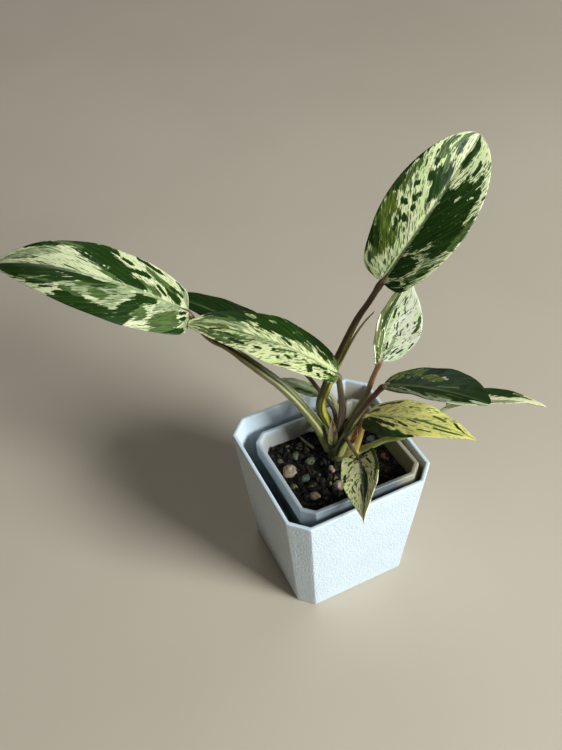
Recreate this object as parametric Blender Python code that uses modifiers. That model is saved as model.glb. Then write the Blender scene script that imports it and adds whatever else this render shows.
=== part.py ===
"""Potted philodendron: a young variegated plant in a square grow pot that
stands, leaning back a little, inside a white square cover pot.

Units: the dimensions below are in millimetres, the scene is in metres, +Z up.
The origin is the centre of the cover pot's underside. The cover pot's walls
face -X, +X, -Y and +Y; the front of the plant is at -Y.
"""
import math

import bmesh
import bpy
from mathutils import Matrix, Vector

MM = 0.001
GAP = 0.3                      # clearance between touching pieces
POCKET_GAP = 0.42              # the same, across the facets of a small stone

# ---------------------------------------------------------------- cover pot
POT_HEIGHT = 82.0
POT_TOP = (40.0, 8.9)          # half width and corner cut at the rim
POT_BASE = (33.0, 7.2)         # the same at the foot
POT_WALL = 2.2
POT_EDGE = 0.5

# ----------------------------------------------------------------- grow pot
GROW_CENTRE = (2.75, -1.25, 79.0)   # middle of its rim
GROW_LEAN = -7.0               # degrees about X: front edge up, back edge down
GROW_YAW = -1.4                # degrees about its own axis
GROW_DEPTH = 74.3
GROW_MOUTH = (30.4, 4.6)       # inside, at the rim
GROW_FLOOR = (19.2, 3.2)       # inside, at the floor
GROW_WALL = 1.2
GROW_BAND = 2.4                # thickness of the collar below the rim
GROW_BAND_HEIGHT = 9.5
DRAIN_RADIUS = 3.0
DRAIN_OFFSET = 11.0

# --------------------------------------------------------------------- soil
SOIL_LEVEL = -9.6              # below the grow pot's rim, at the wall
SOIL_BUMP = 0.7

# -------------------------------------------------------------------- crown
CROWN_CENTRE = (7.2, 2.4, 72.0)
CROWN_RADII = (6.6, 5.4, 12.0)

# ----------------------------------------------------------------- petioles
# route (mm), radius at the crown, in the middle and at the blade
PETIOLES = {
    "petiole_01": (((4.5, 6.0, 74), (-1, 10, 89), (-6.5, 15, 101), (-13.5, 22, 112.5),
                    (-21.5, 28, 122), (-34.5, 39, 135), (-40.5, 43, 139.5), (-45, 48, 146),
                    (-47, 52.5, 153.5)), 2.7, 2.2, 1.2),
    "petiole_02": (((8, 7, 75), (5.5, 11.5, 86), (3.5, 15.5, 97), (8, 18, 107),
                    (14, 18, 122.5), (23.5, 17.5, 144), (28, 13, 158.5), (31, 8.5, 172)),
                   2.2, 1.9, 1.4),
    "petiole_03": (((6.5, 4.5, 74), (8.5, 5, 87), (10.5, 6, 99.5), (10, 7, 113),
                    (8.5, 7, 124.5)), 1.9, 1.8, 1.4),
    "petiole_04": (((6, 5.5, 73), (12, 16, 85), (11, 21.5, 91), (8, 25, 97),
                    (3, 28, 107), (-5, 37.5, 120)), 1.2, 1.1, 0.9),
    "petiole_05": (((7, 6, 73), (15.5, 21, 81), (16, 28, 87), (10.5, 29.5, 90)),
                   1.3, 1.2, 0.7),
    "petiole_06": (((10, 5, 74), (12.8, 5.2, 85), (17.3, 4.2, 96), (21, 1.5, 108.5),
                    (24.2, 0.1, 122.5), (27.5, 0, 131)), 1.8, 1.5, 1.2),
    "petiole_07": (((7, 2, 73), (9, 0.8, 82.5), (13.4, 0.3, 94.3), (18.8, -2.3, 106.3),
                    (22.5, -4.8, 115), (26.5, -5.5, 120)), 2.0, 1.7, 1.3),
    "petiole_08": (((12.5, -1, 70), (16.5, -2, 73), (21, -6, 78.5), (27.5, -10, 84),
                    (34, -15.5, 88.5), (46, -16.5, 92.5), (58, -15.5, 98)), 1.6, 1.3, 0.8),
    "petiole_09": (((14, -1, 72), (16, -0.5, 78), (18, -0.5, 87), (21, -0.5, 96)),
                   1.8, 1.7, 1.3),
    "petiole_10": (((9, 1, 86), (8, -6, 88), (7.5, -12, 88.5), (7.5, -17.5, 88)),
                   1.0, 0.9, 0.7),
}
ROUTE_POINTS = 13              # points along each petiole
BLADE_GAP = 1.2                # from the end of a stalk to the blade's first edge

# ------------------------------------------------------------------- leaves
# length and width; azimuth and elevation of the midrib at the base; bend, the
# change of elevation to the tip, and how late it comes; turn, the change of
# azimuth; roll about the midrib and twist, its change; fold of each half above
# flat; curl of the margins; base and tip roundness of the outline; depth of
# the basal lobes; how much wider the left half is
LEAVES = {
    "leaf_01": (98.5, 40.5, 160, 35.5, -58.5, 1.7, -24, -3.5, -25, 4, 0.14, 0.40, 0.91, 0.08, 0.01),
    "leaf_02": (76, 40, 2.5, 50.5, -11.5, 1.0, 17.5, 15.5, 19, 10.5, 0.03, 0.48, 0.57, 0.07, 0.02),
    "leaf_03": (75.5, 33, 144.5, 41.5, -37, 1.0, 7, 2.5, 1, 10.5, 0.10, 0.50, 0.58, 0.04, 0.0),
    "leaf_04": (67, 28.5, 147.5, 45, -29, 1.0, -2.5, 10, 0, 9, 0.05, 0.53, 0.93, 0.05, 0.0),
    "leaf_05": (23.3, 10.8, 149.5, 21.5, 2.5, 1.0, -3.5, 5, 0.5, 4.5, 0.07, 0.52, 0.85, 0.05, 0.0),
    "leaf_06": (43, 25.5, 28.5, 85.5, -34, 1.0, -23.5, 64.5, -2, 30, 0.02, 0.55, 0.63, 0.06, -0.22),
    "leaf_07": (51, 28, -48.5, 22, -24.5, 1.0, -5, -13, 4, 16, 0.03, 0.58, 0.55, 0.02, 0.02),
    "leaf_08": (49, 20, -26.5, 20.5, -39, 1.0, -3.5, -23, -4, 18, 0.04, 0.53, 0.75, 0.05, 0.0),
    "leaf_09": (57.5, 27.5, -52, 28.5, -34, 1.0, -5, -3.5, -2, 4, 0.09, 0.51, 1.05, 0.06, -0.02),
    "leaf_10": (37.5, 20.8, -114, 10.5, -19.5, 1.0, -5.5, 21.5, 12, 17.5, 0.04, 0.50, 1.20, 0.22, 0.01),
}
LEAF_THICKNESS = 0.5
LEAF_ROWS = 12
LEAF_COLUMNS = 4
VEIN_LEAD = 0.16               # how far a vein runs forward on its way out
VEIN_CURVE = 1.25

# ---------------------------------------------- sheaths, roots, soil pieces
# dry bud scales left at the crown: base, then the same numbers as a leaf
SCALES = {
    "cataphyll_dry": ((13.2, -2.7, 80.5),
                      (12.5, 4.4, 66, 86, 0, 1.0, 0, 0, 0, 14, 0.0, 0.4, 0.8, 0.0, 0.0)),
    "cataphyll_papery": ((2.6, 1.2, 82.5),
                         (14, 4.6, 66, 69, 0, 1.0, 0, 0, 0, 16, 0.0, 0.40, 0.7, 0.0, 0.0)),
}
ROOTS = {
    "root_nub": (((-1.5, -4.5, 72.6), (-2.0, -6.0, 73.2), (-1.2, -8.0, 73.0)), 1.0, 1.0, 0.8),
    "root_aerial": (((-2.5, 12, 70.6), (-4.5, 16, 71.6), (-6.5, 20.5, 73.4)), 0.8, 0.75, 0.6),
}
# place on the soil (grow pot frame), radii, how deep it sits, turn in degrees
CHIPS = {
    "pumice_01": (-23.0, 6.7, 4.3, 3.9, 3.6, 0.42, 20),
    "pumice_02": (-19.2, -14.5, 3.0, 2.8, 2.6, 0.45, 75),
    "pumice_03": (-5.8, -14.3, 3.3, 3.1, 2.9, 0.42, 130),
    "gravel_01": (-10.8, 8.8, 3.2, 2.3, 1.9, 0.40, 15),
    "gravel_02": (-15.6, 15.7, 3.2, 2.2, 1.8, 0.40, 60),
    "gravel_03": (-18.2, -1.2, 3.0, 2.0, 1.6, 0.40, 25),
    "gravel_04": (-25.4, -3.6, 1.6, 2.4, 1.5, 0.40, 10),
    "gravel_05": (-17.6, -7.4, 2.9, 1.5, 1.3, 0.38, 35),
    "gravel_06": (-12.8, -6.2, 1.2, 2.2, 1.2, 0.38, -10),
    "gravel_07": (-9.6, 22.6, 2.2, 1.7, 1.3, 0.40, 50),
    "gravel_08": (-24.4, 16.1, 2.2, 1.7, 1.4, 0.40, 80),
    "gravel_09": (24.2, 7.2, 2.7, 2.4, 1.9, 0.40, 30),
    "bark_01": (24.4, -7.4, 3.4, 2.0, 1.4, 0.38, 110),
}

# --------------------------------------------------------------- materials
COLOURS = {
    "cover_white": ((0.80, 0.83, 0.86), 0.62),
    "grow_plastic": ((0.55, 0.59, 0.62), 0.38),
    "soil_dark": ((0.018, 0.014, 0.010), 0.95),
    "crown_green": ((0.16, 0.19, 0.05), 0.50),
    "petiole_green": ((0.20, 0.22, 0.06), 0.42),
    "petiole_brown": ((0.13, 0.07, 0.04), 0.42),
    "leaf_variegated": ((0.33, 0.42, 0.16), 0.38),
    "scale_dry": ((0.55, 0.27, 0.10), 0.60),
    "root_skin": ((0.40, 0.25, 0.17), 0.65),
    "pumice_pale": ((0.50, 0.42, 0.28), 0.90),
    "gravel_grey": ((0.16, 0.17, 0.10), 0.80),
    "bark_brown": ((0.20, 0.08, 0.03), 0.85),
}


def clear_scene():
    for ob in list(bpy.data.objects):
        bpy.data.objects.remove(ob, do_unlink=True)
    for col in list(bpy.data.collections):
        bpy.data.collections.remove(col)


def new_collection(name):
    col = bpy.data.collections.new(name)
    bpy.context.scene.collection.children.link(col)
    return col


def material(name):
    mat = bpy.data.materials.get(name)
    if mat is None:
        colour, rough = COLOURS[name]
        mat = bpy.data.materials.new(name)
        mat.use_nodes = True
        node = mat.node_tree.nodes["Principled BSDF"]
        node.inputs["Base Color"].default_value = (*colour, 1.0)
        node.inputs["Roughness"].default_value = rough
        node.inputs["Metallic"].default_value = 0.0
        mat.diffuse_color = (*colour, 1.0)
    return mat


def add_mesh(name, bm, mat, col):
    mesh = bpy.data.meshes.new(name)
    bm.to_mesh(mesh)
    bm.free()
    ob = bpy.data.objects.new(name, mesh)
    mesh.materials.append(material(mat))
    col.objects.link(ob)
    return ob


def smooth(ob, angle=40.0):
    ob.data.shade_smooth()
    ob.data.set_sharp_from_angle(angle=math.radians(angle))


# ------------------------------------------------------------ square shapes
def cut_square(half, cut, per_side=1):
    """Outline of a square with its corners cut off, anticlockwise."""
    a = half - cut
    corners = [(-a, -half), (a, -half), (half, -a), (half, a),
               (a, half), (-a, half), (-half, a), (-half, -a)]
    pts = []
    for i, (x0, y0) in enumerate(corners):
        x1, y1 = corners[(i + 1) % 8]
        steps = per_side if i % 2 == 0 else 1
        for k in range(steps):
            f = k / steps
            pts.append((x0 + (x1 - x0) * f, y0 + (y1 - y0) * f))
    return pts


def loft(rings, cap_first=True, cap_last=True):
    """Skin a stack of outlines [(points, z), ...] given in millimetres."""
    bm = bmesh.new()
    rows = []
    for pts, z in rings:
        rows.append([bm.verts.new((x * MM, y * MM, z * MM)) for x, y in pts])
    n = len(rows[0])
    for low, high in zip(rows, rows[1:]):
        for i in range(n):
            j = (i + 1) % n
            bm.faces.new((low[i], low[j], high[j], high[i]))
    if cap_first:
        bm.faces.new(list(reversed(rows[0])))
    if cap_last:
        bm.faces.new(rows[-1])
    return bm, rows


def build_cover_pot(col):
    """A tapered open shell: foot, four walls and four cut corners."""
    bm, _ = loft([(cut_square(*POT_BASE), 0.0), (cut_square(*POT_TOP), POT_HEIGHT)],
                 cap_last=False)
    ob = add_mesh("cover_pot", bm, "cover_white", col)
    wall = ob.modifiers.new("wall", "SOLIDIFY")
    wall.thickness = POT_WALL * MM
    wall.offset = -1.0
    wall.use_even_offset = True
    edge = ob.modifiers.new("edge", "BEVEL")
    edge.width = POT_EDGE * MM
    edge.segments = 2
    edge.limit_method = "ANGLE"
    edge.angle_limit = math.radians(60.0)
    return ob


def grow_inside(z):
    """Half width and corner cut of the grow pot's inside at depth z below its rim."""
    f = -z / (GROW_DEPTH - GROW_WALL)
    return (GROW_MOUTH[0] + (GROW_FLOOR[0] - GROW_MOUTH[0]) * f,
            GROW_MOUTH[1] + (GROW_FLOOR[1] - GROW_MOUTH[1]) * f)


def grown(section, d):
    """A section offset outwards by d; the corner cut grows with it."""
    return section[0] + d, section[1] + d * (2.0 - math.sqrt(2.0))


def build_grow_pot(col, cutters, parent):
    floor = -GROW_DEPTH + GROW_WALL
    under = grown(grow_inside(-GROW_BAND_HEIGHT), GROW_WALL)
    rings = [
        (cut_square(*grown(GROW_FLOOR, GROW_WALL)), -GROW_DEPTH),
        (cut_square(*under), -GROW_BAND_HEIGHT - 0.6),
        (cut_square(*grown(GROW_MOUTH, GROW_BAND)), -GROW_BAND_HEIGHT),
        (cut_square(*grown(GROW_MOUTH, GROW_BAND)), -0.5),
        (cut_square(*grown(GROW_MOUTH, GROW_BAND - 0.5)), 0.0),
        (cut_square(*grown(GROW_MOUTH, 0.3)), 0.0),
        (cut_square(*grow_inside(-0.4)), -0.4),
        (cut_square(*GROW_FLOOR), floor),
    ]
    bm, _ = loft(rings)
    ob = add_mesh("grow_pot", bm, "grow_plastic", col)
    ob.parent = parent
    places = [(0.0, 0.0)] + [(sx * DRAIN_OFFSET, sy * DRAIN_OFFSET)
                             for sx in (-1, 1) for sy in (-1, 1)]
    for i, (x, y) in enumerate(places):
        bmc = bmesh.new()
        bmesh.ops.create_cone(bmc, cap_ends=True, segments=12,
                              radius1=DRAIN_RADIUS * MM, radius2=DRAIN_RADIUS * MM,
                              depth=4 * GROW_WALL * MM)
        bmesh.ops.translate(bmc, verts=bmc.verts,
                            vec=Vector((x, y, floor - GROW_WALL / 2)) * MM)
        cut = add_mesh("drain_cutter_%d" % i, bmc, "grow_plastic", cutters)
        cut.parent = parent
        hide_cutter(cut)
        mod = ob.modifiers.new("drain_%d" % i, "BOOLEAN")
        mod.operation = "DIFFERENCE"
        mod.solver = "EXACT"
        mod.object = cut
    return ob


def hide_cutter(ob):
    ob.hide_render = True
    ob.display_type = "WIRE"


# --------------------------------------------------------------------- soil
def soil_height(x, y):
    """Unevenness of the soil's surface, fading out at the wall."""
    edge = max(abs(x), abs(y)) / GROW_MOUTH[0]
    fade = max(0.0, 1.0 - edge ** 4)
    wave = (math.sin(0.31 * x + 1.3) * math.cos(0.27 * y - 0.4)
            + 0.6 * math.sin(0.53 * y + 0.9 * math.sin(0.21 * x)))
    return SOIL_BUMP * fade * wave


def build_soil(col, parent):
    low = -GROW_DEPTH + GROW_WALL + GAP
    side = 5
    foot = grow_inside(low)
    top = grow_inside(SOIL_LEVEL)
    rings = [(cut_square(foot[0] - GAP, foot[1], side), low),
             (cut_square(top[0] - GAP, top[1], side), SOIL_LEVEL)]
    bm, rows = loft(rings, cap_last=False)
    outer = rows[-1]
    n = len(outer)
    for scale in (0.84, 0.66, 0.47, 0.27):
        inner = []
        for v in outer if scale == 0.84 else rows[-1]:
            ref = v.co / MM
            k = scale if scale == 0.84 else scale / last_scale
            x, y = ref.x * k, ref.y * k
            inner.append(bm.verts.new((x * MM, y * MM, (SOIL_LEVEL + soil_height(x, y)) * MM)))
        prev = rows[-1]
        for i in range(n):
            j = (i + 1) % n
            bm.faces.new((prev[i], prev[j], inner[j], inner[i]))
        rows.append(inner)
        last_scale = scale
    middle = bm.verts.new((0.0, 0.0, (SOIL_LEVEL + soil_height(0, 0)) * MM))
    for i in range(n):
        bm.faces.new((rows[-1][i], rows[-1][(i + 1) % n], middle))
    ob = add_mesh("potting_soil", bm, "soil_dark", col)
    ob.parent = parent
    smooth(ob, 50)
    return ob


def soil_pocket(soil, cutter):
    hide_cutter(cutter)
    mod = soil.modifiers.new("pocket_" + cutter.name, "BOOLEAN")
    mod.operation = "DIFFERENCE"
    mod.solver = "EXACT"
    mod.object = cutter


# -------------------------------------------------------------------- crown
def crown_mesh(extra):
    bm = bmesh.new()
    bmesh.ops.create_uvsphere(bm, u_segments=14, v_segments=9, radius=1.0)
    rx, ry, rz = (r + extra for r in CROWN_RADII)
    bmesh.ops.scale(bm, verts=bm.verts, vec=Vector((rx, ry, rz)) * MM)
    return bm


def build_crown(col, cutters, soil):
    at = Vector(CROWN_CENTRE) * MM
    ob = add_mesh("crown_stem", crown_mesh(0.0), "crown_green", col)
    ob.location = at
    smooth(ob, 60)
    cut = add_mesh("crown_cutter", crown_mesh(GAP), "crown_green", cutters)
    cut.location = at
    soil_pocket(soil, cut)
    return ob


def crown_depth(p):
    """Below zero inside the crown; roughly the distance outside it."""
    d = [(p[i] - CROWN_CENTRE[i]) / CROWN_RADII[i] for i in range(3)]
    r = math.sqrt(sum(v * v for v in d))
    return (r - 1.0) * min(CROWN_RADII)


# ----------------------------------------------------------- smooth routes
def spline(points, count):
    """Evenly spaced points on a smooth curve through the given ones."""
    pts = [Vector(p) for p in points]
    ext = [pts[0] * 2 - pts[1]] + pts + [pts[-1] * 2 - pts[-2]]
    fine = []
    for i in range(1, len(ext) - 2):
        p0, p1, p2, p3 = ext[i - 1:i + 3]
        for k in range(12):
            t = k / 12.0
            fine.append(0.5 * ((2 * p1) + (p2 - p0) * t
                               + (2 * p0 - 5 * p1 + 4 * p2 - p3) * t * t
                               + (3 * p1 - p0 - 3 * p2 + p3) * t ** 3))
    fine.append(pts[-1])
    run = [0.0]
    for a, b in zip(fine, fine[1:]):
        run.append(run[-1] + (b - a).length)
    out, j = [], 0
    for k in range(count):
        want = run[-1] * k / (count - 1)
        while j < len(run) - 2 and run[j + 1] < want:
            j += 1
        f = (want - run[j]) / max(run[j + 1] - run[j], 1e-9)
        out.append(fine[j].lerp(fine[j + 1], f))
    return out


def taper(f, r0, r1, r2):
    """Radius at fraction f: r0 at the start, r1 half way, r2 at the end."""
    return r0 + (r1 - r0) * f * 2 if f < 0.5 else r1 + (r2 - r1) * (f - 0.5) * 2


def tube(name, points, radii, mat, col):
    data = bpy.data.curves.new(name, "CURVE")
    data.dimensions = "3D"
    data.bevel_depth = MM
    data.bevel_resolution = 2
    data.use_fill_caps = True
    line = data.splines.new("POLY")
    line.points.add(len(points) - 1)
    for cv, p, r in zip(line.points, points, radii):
        cv.co = (p.x * MM, p.y * MM, p.z * MM, 1.0)
        cv.radius = r
    ob = bpy.data.objects.new(name, data)
    data.materials.append(material(mat))
    col.objects.link(ob)
    return ob


def build_petioles(col):
    """Each stalk starts where it is clear of the crown and of earlier ones."""
    placed = []
    brown = {"petiole_02", "petiole_03", "petiole_04", "petiole_06", "petiole_07", "petiole_10"}
    for name, (route, r0, r1, r2) in PETIOLES.items():
        fine = spline(route, 120)
        last = len(fine) - 1
        radius = [taper(k / last, r0, r1, r2) for k in range(last + 1)]
        start = 0
        for k in range(last // 2):
            near = crown_depth(fine[k]) - radius[k] < 2 * GAP
            for other, orad in placed:
                for q, s in zip(other, orad):
                    if (fine[k] - q).length < radius[k] + s + 2 * GAP:
                        near = True
            if near:
                start = k + 1
        keep = fine[start:]
        rad = radius[start:]
        placed.append((keep, rad))
        step = (len(keep) - 1) / (ROUTE_POINTS - 1)
        picks = [min(len(keep) - 1, round(i * step)) for i in range(ROUTE_POINTS)]
        pts = [keep[i].copy() for i in picks]
        # the stalk stops just short of the blade
        back = pts[-2] - pts[-1]
        pts[-1] += back.normalized() * BLADE_GAP
        tube(name, pts, [rad[i] for i in picks],
             "petiole_brown" if name in brown else "petiole_green", col)


# ------------------------------------------------------------------- blades
def midrib(base, numbers, count=48):
    """Points and axes (along, left, up) down the middle of a blade."""
    length, _, az, el, bend, late, turn, roll, twist = numbers[:9]
    step = length / count
    p = Vector(base)
    rows = []
    prev = None
    for k in range(count + 1):
        s = k / count
        e = math.radians(el + bend * s ** late)
        a = math.radians(az + turn * s)
        along = Vector((math.cos(e) * math.cos(a), math.cos(e) * math.sin(a), math.sin(e)))
        if prev is not None:
            p = p + (along + prev) * (step / 2)
        prev = along
        left = Vector((-math.sin(a), math.cos(a), 0.0))
        up = along.cross(left)
        r = math.radians(roll + twist * s)
        side = left * math.cos(r) + up * math.sin(r)
        rows.append((p.copy(), along, side, along.cross(side)))
    return rows


def blade_point(rows, numbers, t, k):
    """t runs from base (0) to tip (1), k from the right margin (-1) to the left (1)."""
    length, width = numbers[:2]
    fold, curl, round_base, round_tip, lobe, uneven = numbers[9:15]
    peak = round_base / (round_base + round_tip)
    norm = peak ** round_base * (1 - peak) ** round_tip
    out = (t ** round_base) * ((1 - t) ** round_tip) / norm
    x = min(t / 0.24, 1.0)
    edge = t - lobe * math.sin(math.pi * x) * math.sqrt(max(0.0, 1 - x))
    start = t - VEIN_LEAD * math.sin(math.pi * t)
    q = abs(k)
    sign = 1.0 if k >= 0 else -1.0
    u = start + (edge - start) * q ** VEIN_CURVE
    v = out * q * width / 2 * (1 + sign * uneven)
    at = min(max(u, 0.0), 1.0) * (len(rows) - 1)
    i = min(int(at), len(rows) - 2)
    f = at - i
    p, along, side, up = (a.lerp(b, f) for a, b in zip(rows[i], rows[i + 1]))
    extra = (u - min(max(u, 0.0), 1.0)) * length
    angle = math.radians(fold)
    across = v * math.cos(angle)
    rise = v * math.sin(angle) - curl * v * v / (width / 2)
    return p + along * extra + side * (sign * across) + up * rise


def blade(name, base, numbers, mat, col, rows_n=LEAF_ROWS, cols_n=LEAF_COLUMNS, thick=LEAF_THICKNESS):
    bm = bmesh.new()
    bmesh.ops.create_grid(bm, x_segments=rows_n, y_segments=cols_n, size=1.0)
    rows = midrib(base, numbers)
    for v in bm.verts:
        t = (v.co.x + 1) / 2
        t = min(max(0.5 * t + 0.5 * (0.5 - 0.5 * math.cos(math.pi * t)), 0.0), 1.0)
        v.co = blade_point(rows, numbers, t, v.co.y) * MM
    bmesh.ops.remove_doubles(bm, verts=bm.verts, dist=0.00002)
    ob = add_mesh(name, bm, mat, col)
    skin = ob.modifiers.new("thickness", "SOLIDIFY")
    skin.thickness = thick * MM
    skin.offset = 0.0
    smooth(ob, 50)
    return ob


# -------------------------------------------------------------- soil pieces
def chip_mesh(rx, ry, rz, seed, extra):
    bm = bmesh.new()
    bmesh.ops.create_icosphere(bm, subdivisions=1, radius=1.0)
    for v in bm.verts:
        n = v.co.normalized()
        k = 1.0 + 0.10 * math.sin(3.1 * n.x + seed) + 0.08 * math.cos(4.3 * n.y - 1.7 * seed)
        k += 0.06 * math.sin(5.2 * n.z + 0.6 * seed)
        v.co = Vector((n.x * (rx * k + extra), n.y * (ry * k + extra),
                       n.z * (rz * k + extra))) * MM
    return bm


def build_chips(col, cutters, soil, parent):
    for i, (name, (x, y, rx, ry, rz, sunk, turn)) in enumerate(CHIPS.items()):
        z = SOIL_LEVEL + soil_height(x, y) + rz * (1 - 2 * sunk)
        kind = {"p": "pumice_pale", "g": "gravel_grey", "b": "bark_brown"}[name[0]]
        for extra, where, label in ((0.0, col, name), (POCKET_GAP, cutters, name + "_cutter")):
            ob = add_mesh(label, chip_mesh(rx, ry, rz, i * 1.9, extra), kind, where)
            ob.location = Vector((x, y, z)) * MM
            ob.rotation_euler = (math.radians(7 * (i % 3 - 1)), math.radians(9 * (i % 2)),
                                 math.radians(turn))
            ob.parent = parent
            if extra:
                soil_pocket(soil, ob)
            else:
                smooth(ob, 30)


def main():
    clear_scene()
    col = new_collection("potted_philodendron")
    cutters = new_collection("cutters")

    build_cover_pot(col)

    frame = bpy.data.objects.new("grow_pot_frame", None)
    frame.location = Vector(GROW_CENTRE) * MM
    frame.rotation_euler = (Matrix.Rotation(math.radians(GROW_LEAN), 3, "X")
                            @ Matrix.Rotation(math.radians(GROW_YAW), 3, "Z")).to_euler()
    col.objects.link(frame)

    build_grow_pot(col, cutters, frame)
    soil = build_soil(col, frame)
    build_crown(col, cutters, soil)
    build_chips(col, cutters, soil, frame)
    build_petioles(col)

    for i in range(1, 11):
        leaf, stalk = "leaf_%02d" % i, "petiole_%02d" % i
        blade(leaf, PETIOLES[stalk][0][-1], LEAVES[leaf], "leaf_variegated", col)
    for name, (base, numbers) in SCALES.items():
        blade(name, base, numbers, "scale_dry", col, rows_n=7, cols_n=4, thick=0.4)
    for name, (route, r0, r1, r2) in ROOTS.items():
        pts = spline(route, 6)
        tube(name, pts, [taper(k / 5, r0, r1, r2) for k in range(6)], "root_skin", col)


main()
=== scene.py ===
"""Looks of the potted philodendron: blades, stalks, crown, soil and pots."""

import math
import random

import bmesh
import bpy
import numpy as np
from mathutils import Matrix, Vector, noise


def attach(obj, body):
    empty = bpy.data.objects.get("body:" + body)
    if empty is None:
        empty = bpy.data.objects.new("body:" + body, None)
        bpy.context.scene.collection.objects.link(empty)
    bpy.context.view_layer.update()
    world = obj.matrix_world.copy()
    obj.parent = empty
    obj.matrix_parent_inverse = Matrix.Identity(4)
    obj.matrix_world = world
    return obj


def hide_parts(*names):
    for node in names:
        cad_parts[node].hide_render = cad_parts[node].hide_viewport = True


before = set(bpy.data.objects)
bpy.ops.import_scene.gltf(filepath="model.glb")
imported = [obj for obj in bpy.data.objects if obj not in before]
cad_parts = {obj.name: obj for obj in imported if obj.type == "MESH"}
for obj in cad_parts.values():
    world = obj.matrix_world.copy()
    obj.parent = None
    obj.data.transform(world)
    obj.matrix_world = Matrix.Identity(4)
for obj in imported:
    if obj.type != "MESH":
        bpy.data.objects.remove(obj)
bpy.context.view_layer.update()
MM = 0.001
rng = random.Random(7)

# camera axes in the object's frame: right, up and back
CAM_AT = Vector((-135.306, -251.589, 427.071)) * MM
CAM_RIGHT = Vector((0.89785, -0.43862, -0.03836))
CAM_UP = Vector((0.33768, 0.63007, 0.69927))
CAM_BACK = Vector((-0.28255, -0.64080, 0.71383))
CAM_LENS = 42.36
TO_RIGHT = np.array(CAM_RIGHT)
TO_CAMERA = np.array(CAM_BACK)


# ------------------------------------------------------------ node helpers
class Shader:
    """A material and short calls that add nodes to it."""

    def __init__(self, name, rough=0.5, specular=0.5):
        self.mat = bpy.data.materials.new(name)
        self.mat.use_nodes = True
        self.nt = self.mat.node_tree
        self.bsdf = self.nt.nodes["Principled BSDF"]
        self.bsdf.inputs["Roughness"].default_value = rough
        self.bsdf.inputs["Specular IOR Level"].default_value = specular

    def node(self, kind, inputs=None, **props):
        n = self.nt.nodes.new(kind)
        for key, value in props.items():
            setattr(n, key, value)
        for key, value in (inputs or {}).items():
            self.put(n.inputs[key], value)
        return n

    def put(self, socket, value):
        if isinstance(value, bpy.types.NodeSocket):
            self.nt.links.new(value, socket)
        elif isinstance(value, (tuple, list)) and len(value) == 3 and socket.type == "RGBA":
            socket.default_value = (*value, 1.0)
        else:
            socket.default_value = value

    def math(self, op, a, b=None, c=None, clamp=False):
        n = self.node("ShaderNodeMath", operation=op, use_clamp=clamp)
        for i, v in enumerate((a, b, c)):
            if v is not None:
                self.put(n.inputs[i], v)
        return n.outputs[0]

    def step(self, value, low, high, to_low=0.0, to_high=1.0):
        n = self.node("ShaderNodeMapRange", {"Value": value, "From Min": low, "From Max": high,
                                             "To Min": to_low, "To Max": to_high},
                      interpolation_type="SMOOTHSTEP")
        return n.outputs["Result"]

    def mix(self, factor, a, b, blend="MIX"):
        n = self.node("ShaderNodeMix", data_type="RGBA", blend_type=blend)
        self.put(n.inputs["Factor"], factor)
        self.put(n.inputs[6], a)
        self.put(n.inputs[7], b)
        return n.outputs[2]

    def noise(self, vector, scale, detail=3.0, rough=0.55, distortion=0.0, w=None):
        n = self.node("ShaderNodeTexNoise", {"Vector": vector, "Scale": scale, "Detail": detail,
                                             "Roughness": rough, "Distortion": distortion})
        return n.outputs["Fac"]

    def voronoi(self, vector, scale, feature="F1", randomness=1.0):
        n = self.node("ShaderNodeTexVoronoi", {"Vector": vector, "Scale": scale,
                                               "Randomness": randomness}, feature=feature)
        return n.outputs["Distance"]

    def cells(self, vector, scale):
        n = self.node("ShaderNodeTexVoronoi", {"Vector": vector, "Scale": scale})
        return n.outputs["Color"]

    def scaled(self, vector, x, y, z=1.0, shift=(0.0, 0.0, 0.0)):
        n = self.node("ShaderNodeMapping", {"Vector": vector, "Scale": (x, y, z),
                                            "Location": shift})
        return n.outputs["Vector"]

    def uv(self, name):
        return self.node("ShaderNodeUVMap", uv_map=name).outputs["UV"]

    def attribute(self, name):
        return self.node("ShaderNodeAttribute", attribute_name=name)

    def split(self, colour):
        n = self.node("ShaderNodeSeparateColor", {"Color": colour})
        return n.outputs[0], n.outputs[1], n.outputs[2]

    def here(self):
        """Place on the object, in metres."""
        return self.node("ShaderNodeTexCoord").outputs["Object"]

    def bump(self, height, strength, distance, normal=None):
        n = self.node("ShaderNodeBump", {"Height": height, "Strength": strength,
                                         "Distance": distance})
        if normal is not None:
            self.put(n.inputs["Normal"], normal)
        return n.outputs["Normal"]

    def out(self, **sockets):
        for key, value in sockets.items():
            self.put(self.bsdf.inputs[key.replace("_", " ")], value)
        return self.mat


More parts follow.
